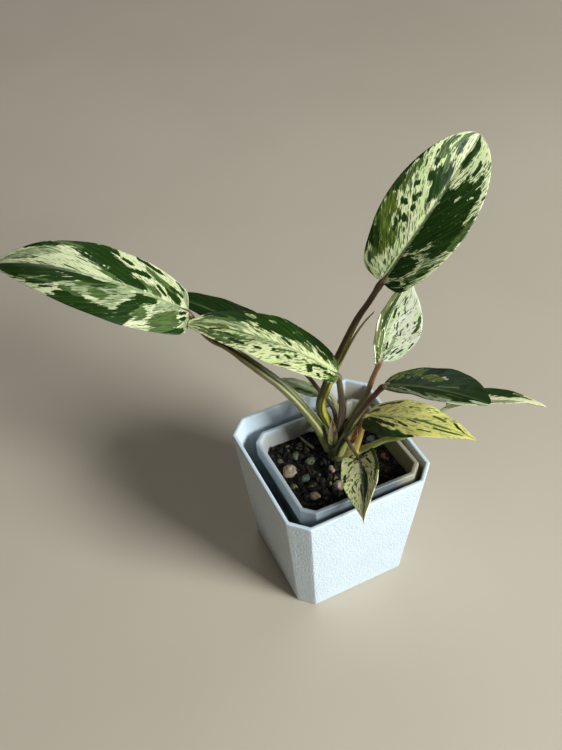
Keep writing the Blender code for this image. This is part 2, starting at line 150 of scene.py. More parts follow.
# ------------------------------------------------------------ mesh helpers
def make_object(name, verts, faces, mats, face_mat=None, uv=None, attrs=None, merge=0.0,
                smooth=True):
    """verts in millimetres; uv {name: per-vertex pairs}; attrs {name: per-vertex triples}."""
    mesh = bpy.data.meshes.new(name)
    mesh.from_pydata([tuple(v) for v in np.asarray(verts, float) * MM], [], faces)
    for m in mats:
        mesh.materials.append(m)
    if face_mat is not None:
        mesh.polygons.foreach_set("material_index", np.asarray(face_mat, np.int32))
    loops = np.zeros(len(mesh.loops), np.int32)
    mesh.loops.foreach_get("vertex_index", loops)
    for key, value in (uv or {}).items():
        layer = mesh.uv_layers.new(name=key)
        layer.data.foreach_set("uv", np.asarray(value, np.float32)[loops].ravel())
    for key, value in (attrs or {}).items():
        layer = mesh.color_attributes.new(key, "FLOAT_COLOR", "POINT")
        full = np.ones((len(value), 4), np.float32)
        full[:, :3] = value
        layer.data.foreach_set("color", full.ravel())
    if merge > 0:
        bm = bmesh.new()
        bm.from_mesh(mesh)
        bmesh.ops.remove_doubles(bm, verts=bm.verts, dist=merge * MM)
        bmesh.ops.dissolve_degenerate(bm, edges=bm.edges, dist=1e-7)
        bm.to_mesh(mesh)
        bm.free()
    mesh.validate()
    if smooth:
        mesh.shade_smooth()
    ob = bpy.data.objects.new(name, mesh)
    bpy.context.scene.collection.objects.link(ob)
    return ob


def grid_faces(rows, cols, offset=0, flip=False, wrap=False):
    faces = []
    across = cols if wrap else cols - 1
    for i in range(rows - 1):
        for j in range(across):
            a = offset + i * cols + j
            b = offset + i * cols + (j + 1) % cols
            c, d = b + cols, a + cols
            faces.append((a, d, c, b) if flip else (a, b, c, d))
    return faces


def fbm(x, y, z, scale, octaves=3, seed=0.0):
    return noise.fractal(Vector((x * scale + seed, y * scale - seed, z * scale + 0.7 * seed)),
                         1.0, 2.0, octaves)


def smoothstep(a, b, x):
    t = np.clip((x - a) / (b - a), 0.0, 1.0)
    return t * t * (3 - 2 * t)


def unit(v):
    return v / np.maximum(np.linalg.norm(v, axis=-1, keepdims=True), 1e-9)


# ------------------------------------------------------------------- routes
PETIOLES = {
    1: (((4.5, 6.0, 74), (-1, 10, 89), (-6.5, 15, 101), (-13.5, 22, 112.5), (-21.5, 28, 122),
         (-34.5, 39, 135), (-40.5, 43, 139.5), (-45, 48, 146), (-47, 52.5, 153.5)), 2.7, 2.2, 1.2),
    2: (((8, 7, 75), (5.5, 11.5, 86), (3.5, 15.5, 97), (8, 18, 107), (14, 18, 122.5),
         (23.5, 17.5, 144), (28, 13, 158.5), (31, 8.5, 172)), 2.2, 1.9, 1.4),
    3: (((6.5, 4.5, 74), (8.5, 5, 87), (10.5, 6, 99.5), (10, 7, 113), (8.5, 7, 124.5)),
        1.9, 1.8, 1.4),
    4: (((6, 5.5, 73), (12, 16, 85), (11, 21.5, 91), (8, 25, 97), (3, 28, 107), (-5, 37.5, 120)),
        1.2, 1.1, 0.9),
    5: (((7, 6, 73), (15.5, 21, 81), (16, 28, 87), (10.5, 29.5, 90)), 1.3, 1.2, 0.7),
    6: (((10, 5, 74), (12.8, 5.2, 85), (17.3, 4.2, 96), (21, 1.5, 108.5), (24.2, 0.1, 122.5),
         (27.5, 0, 131)), 1.8, 1.5, 1.2),
    7: (((7, 2, 73), (9, 0.8, 82.5), (13.4, 0.3, 94.3), (18.8, -2.3, 106.3), (22.5, -4.8, 115),
         (26.5, -5.5, 120)), 2.0, 1.7, 1.3),
    8: (((12.5, -1, 70), (16.5, -2, 73), (21, -6, 78.5), (27.5, -10, 84), (34, -15.5, 88.5),
         (46, -16.5, 92.5), (58, -15.5, 98)), 1.6, 1.3, 0.8),
    9: (((14, -1, 72), (16, -0.5, 78), (18, -0.5, 87), (21, -0.5, 96)), 1.8, 1.7, 1.3),
    10: (((9, 1, 86), (8, -6, 88), (7.5, -12, 88.5), (7.5, -17.5, 88)), 1.0, 0.9, 0.7),
}

# length, width, azimuth, elevation, bend, lateness, turn, roll, twist, fold, curl,
# base and tip roundness, lobes, uneven halves
LEAVES = {
    1: (98.5, 40.5, 160, 35.5, -58.5, 1.7, -24, -3.5, -25, 4, 0.14, 0.40, 0.91, 0.08, 0.01),
    2: (76, 40, 2.5, 50.5, -11.5, 1.0, 17.5, 15.5, 19, 10.5, 0.03, 0.48, 0.57, 0.07, 0.02),
    3: (75.5, 33, 144.5, 41.5, -37, 1.0, 7, 2.5, 1, 10.5, 0.10, 0.50, 0.58, 0.04, 0.0),
    4: (67, 28.5, 147.5, 45, -29, 1.0, -2.5, 10, 0, 9, 0.05, 0.53, 0.93, 0.05, 0.0),
    5: (23.3, 10.8, 149.5, 21.5, 2.5, 1.0, -3.5, 5, 0.5, 4.5, 0.07, 0.52, 0.85, 0.05, 0.0),
    6: (43, 25.5, 28.5, 85.5, -34, 1.0, -23.5, 64.5, -2, 30, 0.02, 0.55, 0.63, 0.06, -0.22),
    7: (51, 28, -48.5, 22, -24.5, 1.0, -5, -13, 4, 16, 0.03, 0.58, 0.55, 0.02, 0.02),
    8: (49, 20, -26.5, 20.5, -39, 1.0, -3.5, -23, -4, 18, 0.04, 0.53, 0.75, 0.05, 0.0),
    9: (57.5, 27.5, -52, 28.5, -34, 1.0, -5, -3.5, -2, 4, 0.09, 0.51, 1.05, 0.06, -0.02),
    10: (37.5, 20.8, -114, 10.5, -19.5, 1.0, -5.5, 21.5, 12, 17.5, 0.04, 0.50, 1.20, 0.22, 0.01),
}
LEAD, CURVE = 0.16, 1.25


def midrib(base, p, count=120):
    s = np.linspace(0, 1, count + 1)
    e = np.radians(p[3] + p[4] * s ** p[5])
    a = np.radians(p[2] + p[6] * s)
    along = np.stack([np.cos(e) * np.cos(a), np.cos(e) * np.sin(a), np.sin(e)], 1)
    pos = np.zeros((count + 1, 3))
    pos[1:] = np.cumsum((along[1:] + along[:-1]) / 2 * p[0] / count, 0)
    pos += np.asarray(base, float)
    left = np.stack([-np.sin(a), np.cos(a), np.zeros(count + 1)], 1)
    up = np.cross(along, left)
    r = np.radians(p[7] + p[8] * s)[:, None]
    side = left * np.cos(r) + up * np.sin(r)
    return s, pos, along, side, np.cross(along, side)


def blade_surface(base, p, t, k):
    """Points and normals of the blade's middle surface for arrays t (0..1) and k (-1..1)."""
    s, pos, along, side, up = midrib(base, p)
    length, width = p[0], p[1]
    fold, curl, ra, rb, lobe, uneven = p[9:15]
    peak = ra / (ra + rb)
    out = t ** ra * (1 - t) ** rb / (peak ** ra * (1 - peak) ** rb)
    x = np.clip(t / 0.24, 0, 1)
    edge = t - lobe * np.sin(np.pi * x) * np.sqrt(1 - x)
    start = t - LEAD * np.sin(np.pi * t)
    q = np.abs(k)
    sign = np.where(k >= 0, 1.0, -1.0)
    u = start + (edge - start) * q ** CURVE
    # a short drip tip in the middle
    u = u + (0.0 if width > 39 else 0.022) * smoothstep(0.955, 1.0, t)
    v = out * q * width / 2 * (1 + sign * uneven)
    uc = np.clip(u, 0, 1)

    def ip(a):
        return np.stack([np.interp(uc, s, a[:, i]) for i in range(3)], -1)

    mc, ac, sc, nc = ip(pos), ip(along), ip(side), ip(up)
    f = math.radians(fold)
    y = v * math.cos(f)
    z = v * math.sin(f) - curl * v * v / (width / 2)
    pts = mc + (u - uc)[..., None] * length * ac + sc * (sign * y)[..., None] + nc * z[..., None]
    soft = np.tanh(k * 7.0)
    slope = math.sin(f) * soft - 2 * curl * v * sign / (width / 2)
    nrm = unit(nc - sc * slope[..., None])
    return pts, nrm, v, out


# ------------------------------------------------------------ blade markings
# Painted in order over the ground colour. Each stroke: tone, half width at its
# ends (in half blade widths) and points (place along the blade 0..1, place
# across it, +1 left margin to -1 right margin). Tones: D dark, M mid green,
# O olive, L pale green, C cream.
MARKS = {
    2: ("C", [
        ("M", .13, (.0, .8), (.05, .8)), ("M", .09, (.13, .78), (.18, .62)),
        ("D", .10, (.16, 1.0), (.3, .98), (.62, .98)), ("D", .10, (.2, .95), (.23, .62)),
        ("O", .15, (.27, .8), (.42, .85), (.56, .78)), ("O", .12, (.22, .5), (.42, .38)),
        ("O", .10, (.28, .62), (.5, .62)), ("D", .08, (.24, .8), (.29, .84)),
        ("M", .07, (.32, .28), (.45, .22)), ("C", .12, (.34, .14), (.55, .2)),
        ("C", .14, (.42, .5), (.5, .42)), ("C", .26, (.55, .55), (.72, .6)),
        ("D", .075, (.47, .48), (.5, .36)), ("D", .05, (.4, .44), (.44, .5)),
        ("D", .05, (.53, .62), (.55, .55)), ("D", .04, (.56, .38), (.58, .34)),
        ("D", .05, (.6, .46), (.64, .42)), ("D", .04, (.63, .66), (.66, .6)),
        ("D", .17, (.71, .2), (.79, .24)), ("D", .10, (.73, .46), (.78, .4)),
        ("D", .09, (.52, .96), (.78, .96)), ("M", .07, (.62, .86), (.72, .88)),
        ("C", .07, (.75, .88), (.8, .95)), ("D", .05, (.785, .6), (.82, .78)),
        ("M", .10, (.82, .66), (.9, .88)), ("M", .11, (.89, .45), (.98, .72)),
        ("M", .08, (.81, .32), (.86, .52)), ("D", .06, (.9, .3), (.94, .46)),
        ("C", .07, (.86, .3), (.88, .5)), ("M", .025, (.07, .07), (.32, .07)),
        # right half
        ("D", .17, (.03, -.5), (.12, -.55)), ("D", .15, (.02, -.75), (.08, -.85)),
        ("C", .055, (.02, -.24), (.1, -.3), (.15, -.5), (.12, -.72)),
        ("D", .17, (.17, -.28), (.25, -.38), (.3, -.3)), ("D", .10, (.13, -.18), (.3, -.14)),
        ("D", .07, (.15, -.8), (.28, -.9)), ("M", .10, (.18, -.72), (.26, -.8)),
        ("L", .12, (.3, -.72), (.36, -.58)), ("C", .05, (.2, -.66), (.33, -.52), (.33, -.3)),
        ("D", .20, (.42, -.2), (.72, -.2)), ("D", .26, (.42, -.66), (.72, -.62)),
        ("D", .2, (.5, -.42), (.76, -.42)), ("C", .035, (.38, -.26), (.42, -.46)),
        ("C", .07, (.24, -.95), (.42, -.97)), ("M", .07, (.4, -.9), (.56, -.93)),
        ("C", .045, (.57, -.84), (.68, -.92), (.84, -.9)), ("C", .03, (.7, -.4), (.72, -.46)),
        ("C", .025, (.71, -.64), (.72, -.74)), ("D", .09, (.74, -.6), (.8, -.78)),
        ("C", .11, (.79, -.16), (.85, -.36), (.92, -.66)), ("D", .06, (.83, -.56), (.88, -.66)),
        ("D", .13, (.88, -.1), (.97, -.3)), ("C", .08, (.9, -.72), (.97, -.66)),
    ]),
    1: ("C", [
        ("L", .2, (.0, .6), (.05, .8)), ("D", .09, (.1, .93), (.12, .9)),
        ("M", .19, (.16, .85), (.15, .5)), ("M", .12, (.21, .6), (.16, .38)),
        ("C", .09, (.22, .92), (.27, .74)), ("C", .09, (.2, .3), (.28, .34)),
        ("M", .12, (.27, .66), (.32, .5)), ("D", .05, (.04, .2), (.09, .26)),
        ("D", .15, (.33, .92), (.62, .93)), ("D", .12, (.35, .8), (.37, .4)),
        ("D", .10, (.3, .16), (.4, .2)), ("D", .07, (.38, .36), (.39, .58)),
        ("L", .2, (.46, .5), (.6, .42)), ("L", .1, (.42, .22), (.54, .2)),
        ("C", .05, (.5, .62), (.6, .68)), ("M", .08, (.5, .52), (.56, .44)),
        ("D", .08, (.57, .24), (.7, .14)), ("C", .07, (.64, .9), (.78, .88)),
        ("L", .07, (.64, .48), (.7, .44)), ("D", .34, (.78, .4), (.92, .45)),
        ("M", .08, (.72, .58), (.84, .74)), ("D", .14, (.72, .08), (.96, .06)),
        ("L", .03, (.74, .4), (.8, .74)),
        # right half
        ("L", .15, (.0, -.3), (.07, -.7)), ("D", .12, (.12, -.16), (.17, -.3)),
        ("D", .06, (.09, -.5), (.15, -.54)), ("D", .05, (.09, -.8), (.12, -.9)),
        ("D", .045, (.22, -.2), (.25, -.36)), ("M", .09, (.23, -.6), (.27, -.7)),
        ("M", .11, (.28, -.14), (.37, -.24)), ("C", .04, (.3, -.34), (.43, -.42)),
        ("D", .055, (.3, -.52), (.42, -.5)), ("D", .04, (.37, -.72), (.4, -.78)),
        ("D", .17, (.42, -.14), (.5, -.3)), ("D", .26, (.48, -.55), (.56, -.8)),
        ("D", .07, (.43, -.9), (.6, -.92)), ("M", .08, (.53, -.16), (.6, -.34)),
        ("C", .035, (.54, -.35), (.6, -.66)), ("M", .08, (.6, -.85), (.67, -.95)),
        ("C", .24, (.62, -.2), (.76, -.3)), ("C", .2, (.7, -.6), (.9, -.35)),
        ("L", .13, (.74, -.72), (.95, -.6)), ("D", .06, (.7, -.9), (.82, -.97)),
        ("M", .04, (.82, -.38), (.9, -.42)), ("M", .10, (.16, -.40), (.2, -.55)),
        ("M", .09, (.52, .10), (.62, .34)), ("D", .05, (.66, .30), (.74, .46)),
        ("M", .06, (.56, .74), (.66, .62)), ("D", .04, (.2, -.86), (.3, -.94)),
        ("L", .12, (.12, .16), (.24, .22)), ("D", .05, (.05, .44), (.08, .5)),
    ]),
    3: ("C", [
        ("O", .26, (.02, .5), (.07, .7)), ("D", .08, (.1, .42), (.16, .42)),
        ("D", .09, (.1, .85), (.13, .95)), ("D", .045, (.18, .85), (.21, .66)),
        ("D", .07, (.18, .16), (.3, .26)), ("D", .07, (.26, .72), (.32, .42)),
        ("D", .05, (.4, .84), (.43, .88)), ("M", .05, (.36, .3), (.39, .28)),
        ("D", .03, (.57, .5), (.59, .34)), ("D", .05, (.63, .64), (.65, .6)),
        ("D", .03, (.5, .7), (.52, .6)), ("D", .03, (.45, .3), (.47, .24)),
        ("M", .16, (.74, .42), (.86, .5)), ("D", .06, (.72, .7), (.78, .66)),
        ("D", .05, (.8, .4), (.84, .34)), ("M", .12, (.8, .85), (.95, .72)),
        ("D", .05, (.88, .06), (.92, .4)), ("D", .025, (.74, .04), (.88, -.03)),
        # right half
        ("M", .32, (.03, -.6), (.14, -.7)), ("D", .11, (.18, -.34), (.24, -.38)),
        ("C", .05, (.13, -.28), (.16, -.34)), ("C", .08, (.28, -.2), (.31, -.42)),
        ("D", .3, (.15, -.8), (.5, -.72), (.84, -.84)), ("D", .12, (.4, -.5), (.66, -.44)),
        ("M", .09, (.34, -.28), (.4, -.3)), ("C", .05, (.4, -.17), (.48, -.28)),
        ("M", .03, (.34, -.76), (.44, -.6)), ("L", .04, (.54, -.76), (.57, -.74)),
        ("L", .05, (.66, -.78), (.7, -.82)), ("D", .05, (.52, -.1), (.56, -.24)),
        ("C", .09, (.7, -.12), (.75, -.44)), ("L", .22, (.82, -.3), (.95, -.3)),
        ("M", .1, (.8, -.55), (.96, -.6)), ("O", .10, (.86, -.1), (.98, -.2)),
        ("M", .05, (.48, .12), (.56, .30)), ("D", .04, (.46, .5), (.50, .42)),
        ("L", .12, (.62, .14), (.74, .2)), ("O", .10, (.9, .5), (.98, .3)),
    ]),
    4: ("D", [
        ("C", .06, (.05, .5), (.3, .4)), ("M", .06, (.3, -.5), (.6, -.4)),
        ("C", .08, (.12, -.1), (.45, -.15)), ("L", .05, (.5, .3), (.66, .44)),
    ]),
    5: ("L", [
        ("M", .2, (.3, .5), (.6, .5)), ("C", .15, (.5, -.3), (.8, -.4)),
        ("M", .15, (.1, -.6), (.3, -.5)), ("M", .1, (.8, .2), (.9, .1)),
    ]),
    6: ("C", [
        ("O", .55, (.02, .80), (.98, .74)), ("O", .2, (.22, .34), (.85, .3)),
        ("D", .20, (.60, .52), (.84, .40)), ("D", .10, (.1, .62), (.32, .58)),
        ("C", .07, (.12, .9), (.3, .92)), ("C", .05, (.5, .9), (.62, .94)),
        ("D", .10, (.9, .5), (.97, .3)), ("L", .08, (.36, .55), (.5, .52)),
        ("L", .12, (.28, .02), (.36, .08)), ("D", .028, (.3, -.12), (.43, -.11)),
        ("D", .045, (.17, -.35), (.28, -.47)), ("D", .055, (.19, -.6), (.24, -.68)),
        ("D", .03, (.24, -.9), (.34, -.9)), ("M", .025, (.44, -.35), (.75, -.22)),
        ("D", .022, (.5, -.41), (.56, -.44)), ("D", .02, (.6, -.2), (.65, -.18)),
        ("D", .038, (.71, -.08), (.79, -.06)), ("M", .025, (.74, -.44), (.9, -.27)),
        ("M", .05, (.54, -.82), (.72, -.94)), ("M", .05, (.08, -.48), (.13, -.52)),
        ("D", .03, (.03, -.15), (.12, -.28)), ("D", .025, (.07, -.08), (.22, -.10)),
        ("M", .025, (.08, -.1), (.24, -.16)), ("M", .025, (.35, -.55), (.43, -.64)),
        ("L", .06, (.2, -.22), (.5, -.28)), ("M", .02, (.42, -.7), (.47, -.72)),
        ("M", .02, (.6, -.56), (.64, -.58)), ("M", .02, (.64, -.76), (.68, -.74)),
    ]),
    7: ("D", [
        ("O", .15, (.10, .84), (.36, .74)), ("O", .13, (.20, .56), (.62, .46)),
        ("O", .08, (.08, .52), (.22, .40)), ("D", .06, (.22, .62), (.32, .58)),
        ("D", .07, (.34, .44), (.44, .38)), ("L", .10, (.01, .30), (.10, .12)),
        ("L", .24, (.02, -.25), (.08, -.7)), ("M", .10, (.16, -.16), (.34, -.30)),
        ("L", .12, (.12, -.62), (.30, -.80), (.62, -.90)), ("C", .05, (.16, -.42), (.30, -.62)),
        ("C", .05, (.30, -.30), (.40, -.56)), ("D", .06, (.22, -.30), (.34, -.64)),
        ("L", .09, (.38, -.62), (.48, -.76)), ("M", .12, (.56, -.60), (.72, -.66)),
        ("L", .10, (.58, -.92), (.90, -.90)), ("C", .16, (.92, -.50), (.97, -.85)),
        ("C", .06, (.70, -.98), (.92, -.98)), ("M", .05, (.66, .12), (.78, .30)),
        ("M", .05, (.74, -.30), (.84, -.40)),
    ]),
    8: ("C", [
        ("D", .42, (.08, .78), (.74, .8)), ("M", .1, (.74, .86), (.88, .66)),
        ("M", .04, (.1, .12), (.3, .08)), ("D", .04, (.7, .03), (.78, -.02)),
        ("M", .04, (.6, -.5), (.7, -.7)), ("M", .06, (.3, -.7), (.45, -.85)),
        ("L", .1, (.1, .35), (.45, .3)),
    ]),
    9: ("C", [
        ("D", .36, (.02, -.62), (.20, -.74)), ("D", .26, (.20, -.80), (.40, -.98)),
        ("D", .16, (.01, -.28), (.04, -.34)), ("D", .10, (.36, -.98), (.52, -1.0)),
        ("D", .09, (.05, -.14), (.2, -.24), (.4, -.48)), ("O", .12, (.03, .3), (.14, .36)),
        ("O", .09, (.12, .74), (.28, .82)), ("D", .035, (.24, -.05), (.42, -.14)),
        ("D", .05, (.47, -.34), (.525, -.48)), ("D", .05, (.56, -.1), (.61, -.2)),
        ("D", .025, (.42, -.18), (.48, -.26)), ("M", .09, (.62, .02), (.84, -.14)),
        ("M", .08, (.74, -.42), (.9, -.56)), ("D", .03, (.6, -.64), (.7, -.7)),
        ("D", .07, (.82, .74), (.9, .4)), ("M", .06, (.9, .45), (.93, .2)),
        ("O", .07, (.68, .56), (.76, .5)), ("D", .022, (.37, .57), (.4, .54)),
        ("D", .022, (.43, .62), (.46, .58)), ("D", .028, (.47, .36), (.485, .31)),
        ("D", .022, (.56, .72), (.59, .78)), ("D", .02, (.6, .86), (.64, .84)),
        ("D", .02, (.73, .72), (.75, .68)), ("D", .02, (.66, .36), (.68, .3)),
    ]),
    10: ("C", [
        ("O", .13, (-.02, -.5), (.05, -.28)), ("O", .05, (.10, -.30), (.17, -.62)),
        ("O", .04, (.20, -.40), (.28, -.62)), ("O", .08, (.04, .25), (.12, .5)),
        ("D", .13, (.01, .62), (.07, .80)), ("D", .05, (.15, .42), (.24, .62)),
        ("O", .12, (.12, .95), (.34, .94)), ("O", .05, (.34, .84), (.5, .80)),
        ("O", .05, (.12, .05), (.26, .06)), ("D", .10, (.28, .10), (.45, .25), (.60, .36)),
        ("D", .12, (.46, .14), (.66, .24), (.80, .20)), ("D", .09, (.62, .40), (.74, .34)),
        ("D", .06, (.60, -.12), (.78, -.08)), ("O", .07, (.78, .3), (.92, .2)),
        ("D", .07, (.30, -.80), (.41, -.84)), ("D", .035, (.44, -.50), (.47, -.52)),
        ("O", .04, (.50, -.40), (.58, -.36)), ("O", .04, (.56, -.62), (.64, -.56)),
        ("D", .03, (.10, -.14), (.16, -.30)), ("O", .03, (.40, .62), (.47, .58)),
    ]),
}


def tone_fields(marks, t, k, aspect):
    ground, strokes = marks
    fields = {c: np.full(t.shape, 1.0 if c == ground else -1.0) for c in "DMOL"}
    x, y = t * aspect, k
    for tone, r, *pts in strokes:
        best = np.full(t.shape, 9.0)
        for (t0, k0), (t1, k1) in zip(pts, pts[1:]):
            ax, ay, bx, by = t0 * aspect, k0, t1 * aspect, k1
            dx, dy = bx - ax, by - ay
            h = np.clip(((x - ax) * dx + (y - ay) * dy) / max(dx * dx + dy * dy, 1e-9), 0, 1)
            best = np.minimum(best, np.hypot(x - ax - h * dx, y - ay - h * dy))
        f = np.clip(1.0 - best / r, -1.0, 1.0)
        # a mark stays on its own half of the blade
        half = np.sign(sum(p[1] for p in pts))
        if all(p[1] * half > 0.05 for p in pts):
            f = np.where(k * half < 0, np.minimum(f, -0.6), f)
        for c in "DMOL":
            fields[c] = np.maximum(fields[c], f) if c == tone else np.minimum(fields[c], -f)
    return fields


# ---------------------------------------------------------- blade materials
def leaf_material(name, cream, specks=0.5, flecks=0.5, ragged=0.8, more=0.0, pepper=0.0,
                  ribbed=0.72, back=False, dark=(0.0085, 0.0265, 0.0018),
                  mid=(0.076, 0.122, 0.030), olive=(0.105, 0.145, 0.014),
                  pale=(0.34, 0.40, 0.20), rough=0.36, glow=0.03):
    m = Shader(name, rough, 0.22)
    uv = m.uv("veins")
    tone = m.attribute("tone").outputs["Color"]
    tone2 = m.attribute("tone2").outputs["Color"]
    geo = m.attribute("geo").outputs["Color"]
    d, g, o = m.split(tone)
    pl, _, _ = m.split(tone2)
    rib, run, lot = m.split(geo)
    broad = m.noise(m.scaled(uv, 26, 15), 1.0, 4.0, 0.62, 0.3)
    fine = m.noise(m.scaled(uv, 78, 36, shift=(3.1, 1.7, 0)), 1.0, 3.0, 0.6, 0.2)
    broad2 = m.noise(m.scaled(uv, 33, 18, shift=(7.7, 4.2, 0)), 1.0, 4.0, 0.62, 0.4)
    shift_d = m.math("ADD", m.math("MULTIPLY", m.math("SUBTRACT", broad, 0.5), 4.4 * ragged),
                     m.math("MULTIPLY_ADD", m.math("SUBTRACT", fine, 0.5), 3.2 * ragged, more))
    shift_g = m.math("ADD", m.math("MULTIPLY", m.math("SUBTRACT", broad2, 0.5), 4.4 * ragged),
                     m.math("MULTIPLY_ADD", m.math("SUBTRACT", fine, 0.5), -3.2 * ragged,
                            0.6 * more))
    thread = m.noise(m.scaled(uv, 170, 10, shift=(0.4, 3.3, 0)), 1.0, 3.0, 0.6)

    def mask(field, shift, low=-0.10, high=0.10):
        f = m.math("MULTIPLY_ADD", field, 2.0, -1.0)
        return m.step(m.math("ADD", f, shift), low, high)

    tint = m.noise(m.scaled(uv, 16, 9, shift=(1.3, 9.2, 0)), 1.0, 2.0)
    c_cream = m.mix(m.step(tint, 0.35, 0.7), cream, tuple(c * f for c, f in
                                                         zip(cream, (0.82, 0.95, 0.74))))
    c_mid = m.mix(m.step(fine, 0.36, 0.64), tuple(c * 0.72 for c in mid),
                  tuple(c * 1.5 for c in mid))
    c_olive = m.mix(m.step(fine, 0.36, 0.64), tuple(c * 0.5 for c in olive),
                    tuple(c * 1.35 for c in olive))
    c_dark = m.mix(m.step(broad2, 0.35, 0.7), dark, tuple(c * 1.9 for c in dark))
    c_pale = m.mix(m.step(fine, 0.40, 0.62), tuple(0.55 * c + 0.45 * g for c, g in
                                                   zip(pale, mid)),
                   tuple(0.7 * c + 0.3 * g for c, g in zip(pale, cream)))
    col = m.mix(mask(pl, shift_g), c_cream, c_pale)
    col = m.mix(mask(g, shift_g), col, c_mid)
    col = m.mix(mask(o, shift_g), col, c_olive)
    dark_mask = mask(d, shift_d, -0.06, 0.08)
    # small marks that follow the veins
    sp = m.noise(m.scaled(uv, 66, 38, shift=(5.5, 2.2, 0)), 1.0, 2.0, 0.5)
    near = m.noise(m.scaled(uv, 18, 14, shift=(2.5, 6.2, 0)), 1.0, 2.0, 0.5)
    sp = m.math("ADD", sp, m.math("MULTIPLY", m.math("SUBTRACT", near, 0.5), 0.50))
    speck = m.step(sp, 0.74 - 0.16 * specks, 0.77 - 0.16 * specks)
    col = m.mix(m.math("MULTIPLY", speck, 0.88), col, m.mix(0.25, dark, mid))
    if pepper:
        holes = m.voronoi(m.scaled(uv, 82, 48, shift=(1.1, 7.3, 0)), 1.0)
        some = m.step(m.noise(m.scaled(uv, 24, 16, shift=(6.5, 0.2, 0)), 1.0, 2.0, 0.5),
                      0.34, 0.56, 0.10, 0.22 + 0.20 * pepper)
        hole = m.step(m.math("SUBTRACT", holes, some), 0.03, -0.03)
        col = m.mix(m.math("MULTIPLY", hole, 0.82), col, m.mix(0.45, dark, mid))
    fl = m.noise(m.scaled(uv, 84, 60, shift=(8.5, 5.2, 0)), 1.0, 2.0, 0.5)
    fleck = m.step(fl, 0.78 - 0.12 * flecks, 0.81 - 0.12 * flecks)
    inside = m.mix(m.math("MULTIPLY", fleck, 0.75), c_dark, pale)
    col = m.mix(dark_mask, col, inside)
    lines = m.step(thread, 0.3, 0.7, 0.84, 1.14)
    col = m.mix(1.0, col, m.node("ShaderNodeCombineColor",
                                 {0: lines, 1: lines, 2: lines}).outputs[0], blend="MULTIPLY")
    # faint side veins
    vein = m.node("ShaderNodeTexWave", {"Vector": m.scaled(uv, 1, 0.0), "Scale": 5.0,
                                        "Distortion": 0.0, "Detail": 0.0},
                  wave_type="BANDS", bands_direction="X", wave_profile="SIN").outputs["Fac"]
    vein = m.step(vein, 0.93, 1.0)
    col = m.mix(m.math("MULTIPLY", vein, 0.05), col, pale)
    # the rib: a pale double line with a thin green furrow
    pale_rib = m.math("MULTIPLY", m.step(rib, 0.065, 0.035), m.step(run, 0.93, 0.45))
    furrow = m.step(rib, 0.018, 0.008)
    col = m.mix(m.math("MULTIPLY", pale_rib, ribbed), col, (0.40, 0.47, 0.22))
    col = m.mix(m.math("MULTIPLY", furrow, 0.55), col, (0.13, 0.17, 0.06))
    if back:
        col = m.mix(0.42, col, (0.36, 0.43, 0.22))
    height = m.math("ADD", m.math("MULTIPLY", vein, 0.35),
                    m.noise(m.scaled(uv, 420, 300), 1.0, 3.0, 0.6))
    cell = m.voronoi(m.scaled(uv, 700, 520), 1.0)
    normal = m.bump(m.math("ADD", height, m.math("MULTIPLY", cell, 0.5)), 0.22, 0.0003)
    rgh = m.math("ADD", m.step(dark_mask, 0.0, 1.0, rough + 0.09, rough),
                 m.math("MULTIPLY", m.math("SUBTRACT", broad, 0.5), 0.10))
    if back:
        rgh = m.math("ADD", rgh, 0.14)
    m.bsdf.inputs["Subsurface Weight"].default_value = glow
    m.bsdf.inputs["Subsurface Radius"].default_value = (0.8, 0.9, 0.4)
    m.bsdf.inputs["Subsurface Scale"].default_value = 0.0006 if glow < 0.1 else 0.0014
    m.bsdf.inputs["Coat Weight"].default_value = 0.0 if back else 0.10
    m.bsdf.inputs["Coat Roughness"].default_value = 0.22
    return m.out(Base_Color=col, Roughness=rgh, Normal=normal)


LEAF_LOOK = {   # cream, specks, flecks, raggedness, vein lead and shear, more green, pepper, rib
    1: ((0.72, 0.70, 0.44), 0.60, 0.6, 0.75, 1.35, 0.0, 0.42, 0.35, 0.72),
    2: ((0.72, 0.74, 0.42), 0.85, 0.9, 0.70, 1.10, 0.0, 0.12, 0.95, 0.72),
    3: ((0.69, 0.68, 0.36), 0.90, 0.4, 0.75, 1.00, 0.3, 0.20, 0.80, 0.60),
    4: ((0.30, 0.36, 0.17), 0.30, 0.3, 0.50, 1.2, 0.0, 0.20, 0.0, 0.25),
    5: ((0.42, 0.45, 0.32), 0.40, 0.3, 0.60, 1.0, 0.0, 0.0, 0.0, 0.5),
    6: ((0.90, 0.92, 0.68), 0.60, 0.2, 0.50, 1.3, 0.0, 0.0, 0.35, 0.35),
    7: ((0.62, 0.62, 0.42), 0.30, 0.2, 0.55, 1.2, 0.0, 0.10, 0.0, 0.18),
    8: ((0.80, 0.74, 0.46), 0.45, 0.3, 0.50, 1.2, 0.0, 0.05, 0.2, 0.5),
    9: ((0.96, 0.83, 0.27), 0.60, 0.0, 0.40, 1.2, 0.3, 0.08, 0.35, 0.35),
    10: ((0.96, 0.89, 0.48), 0.55, 0.2, 0.55, 0.9, -0.4, 0.10, 0.75, 0.25),
}


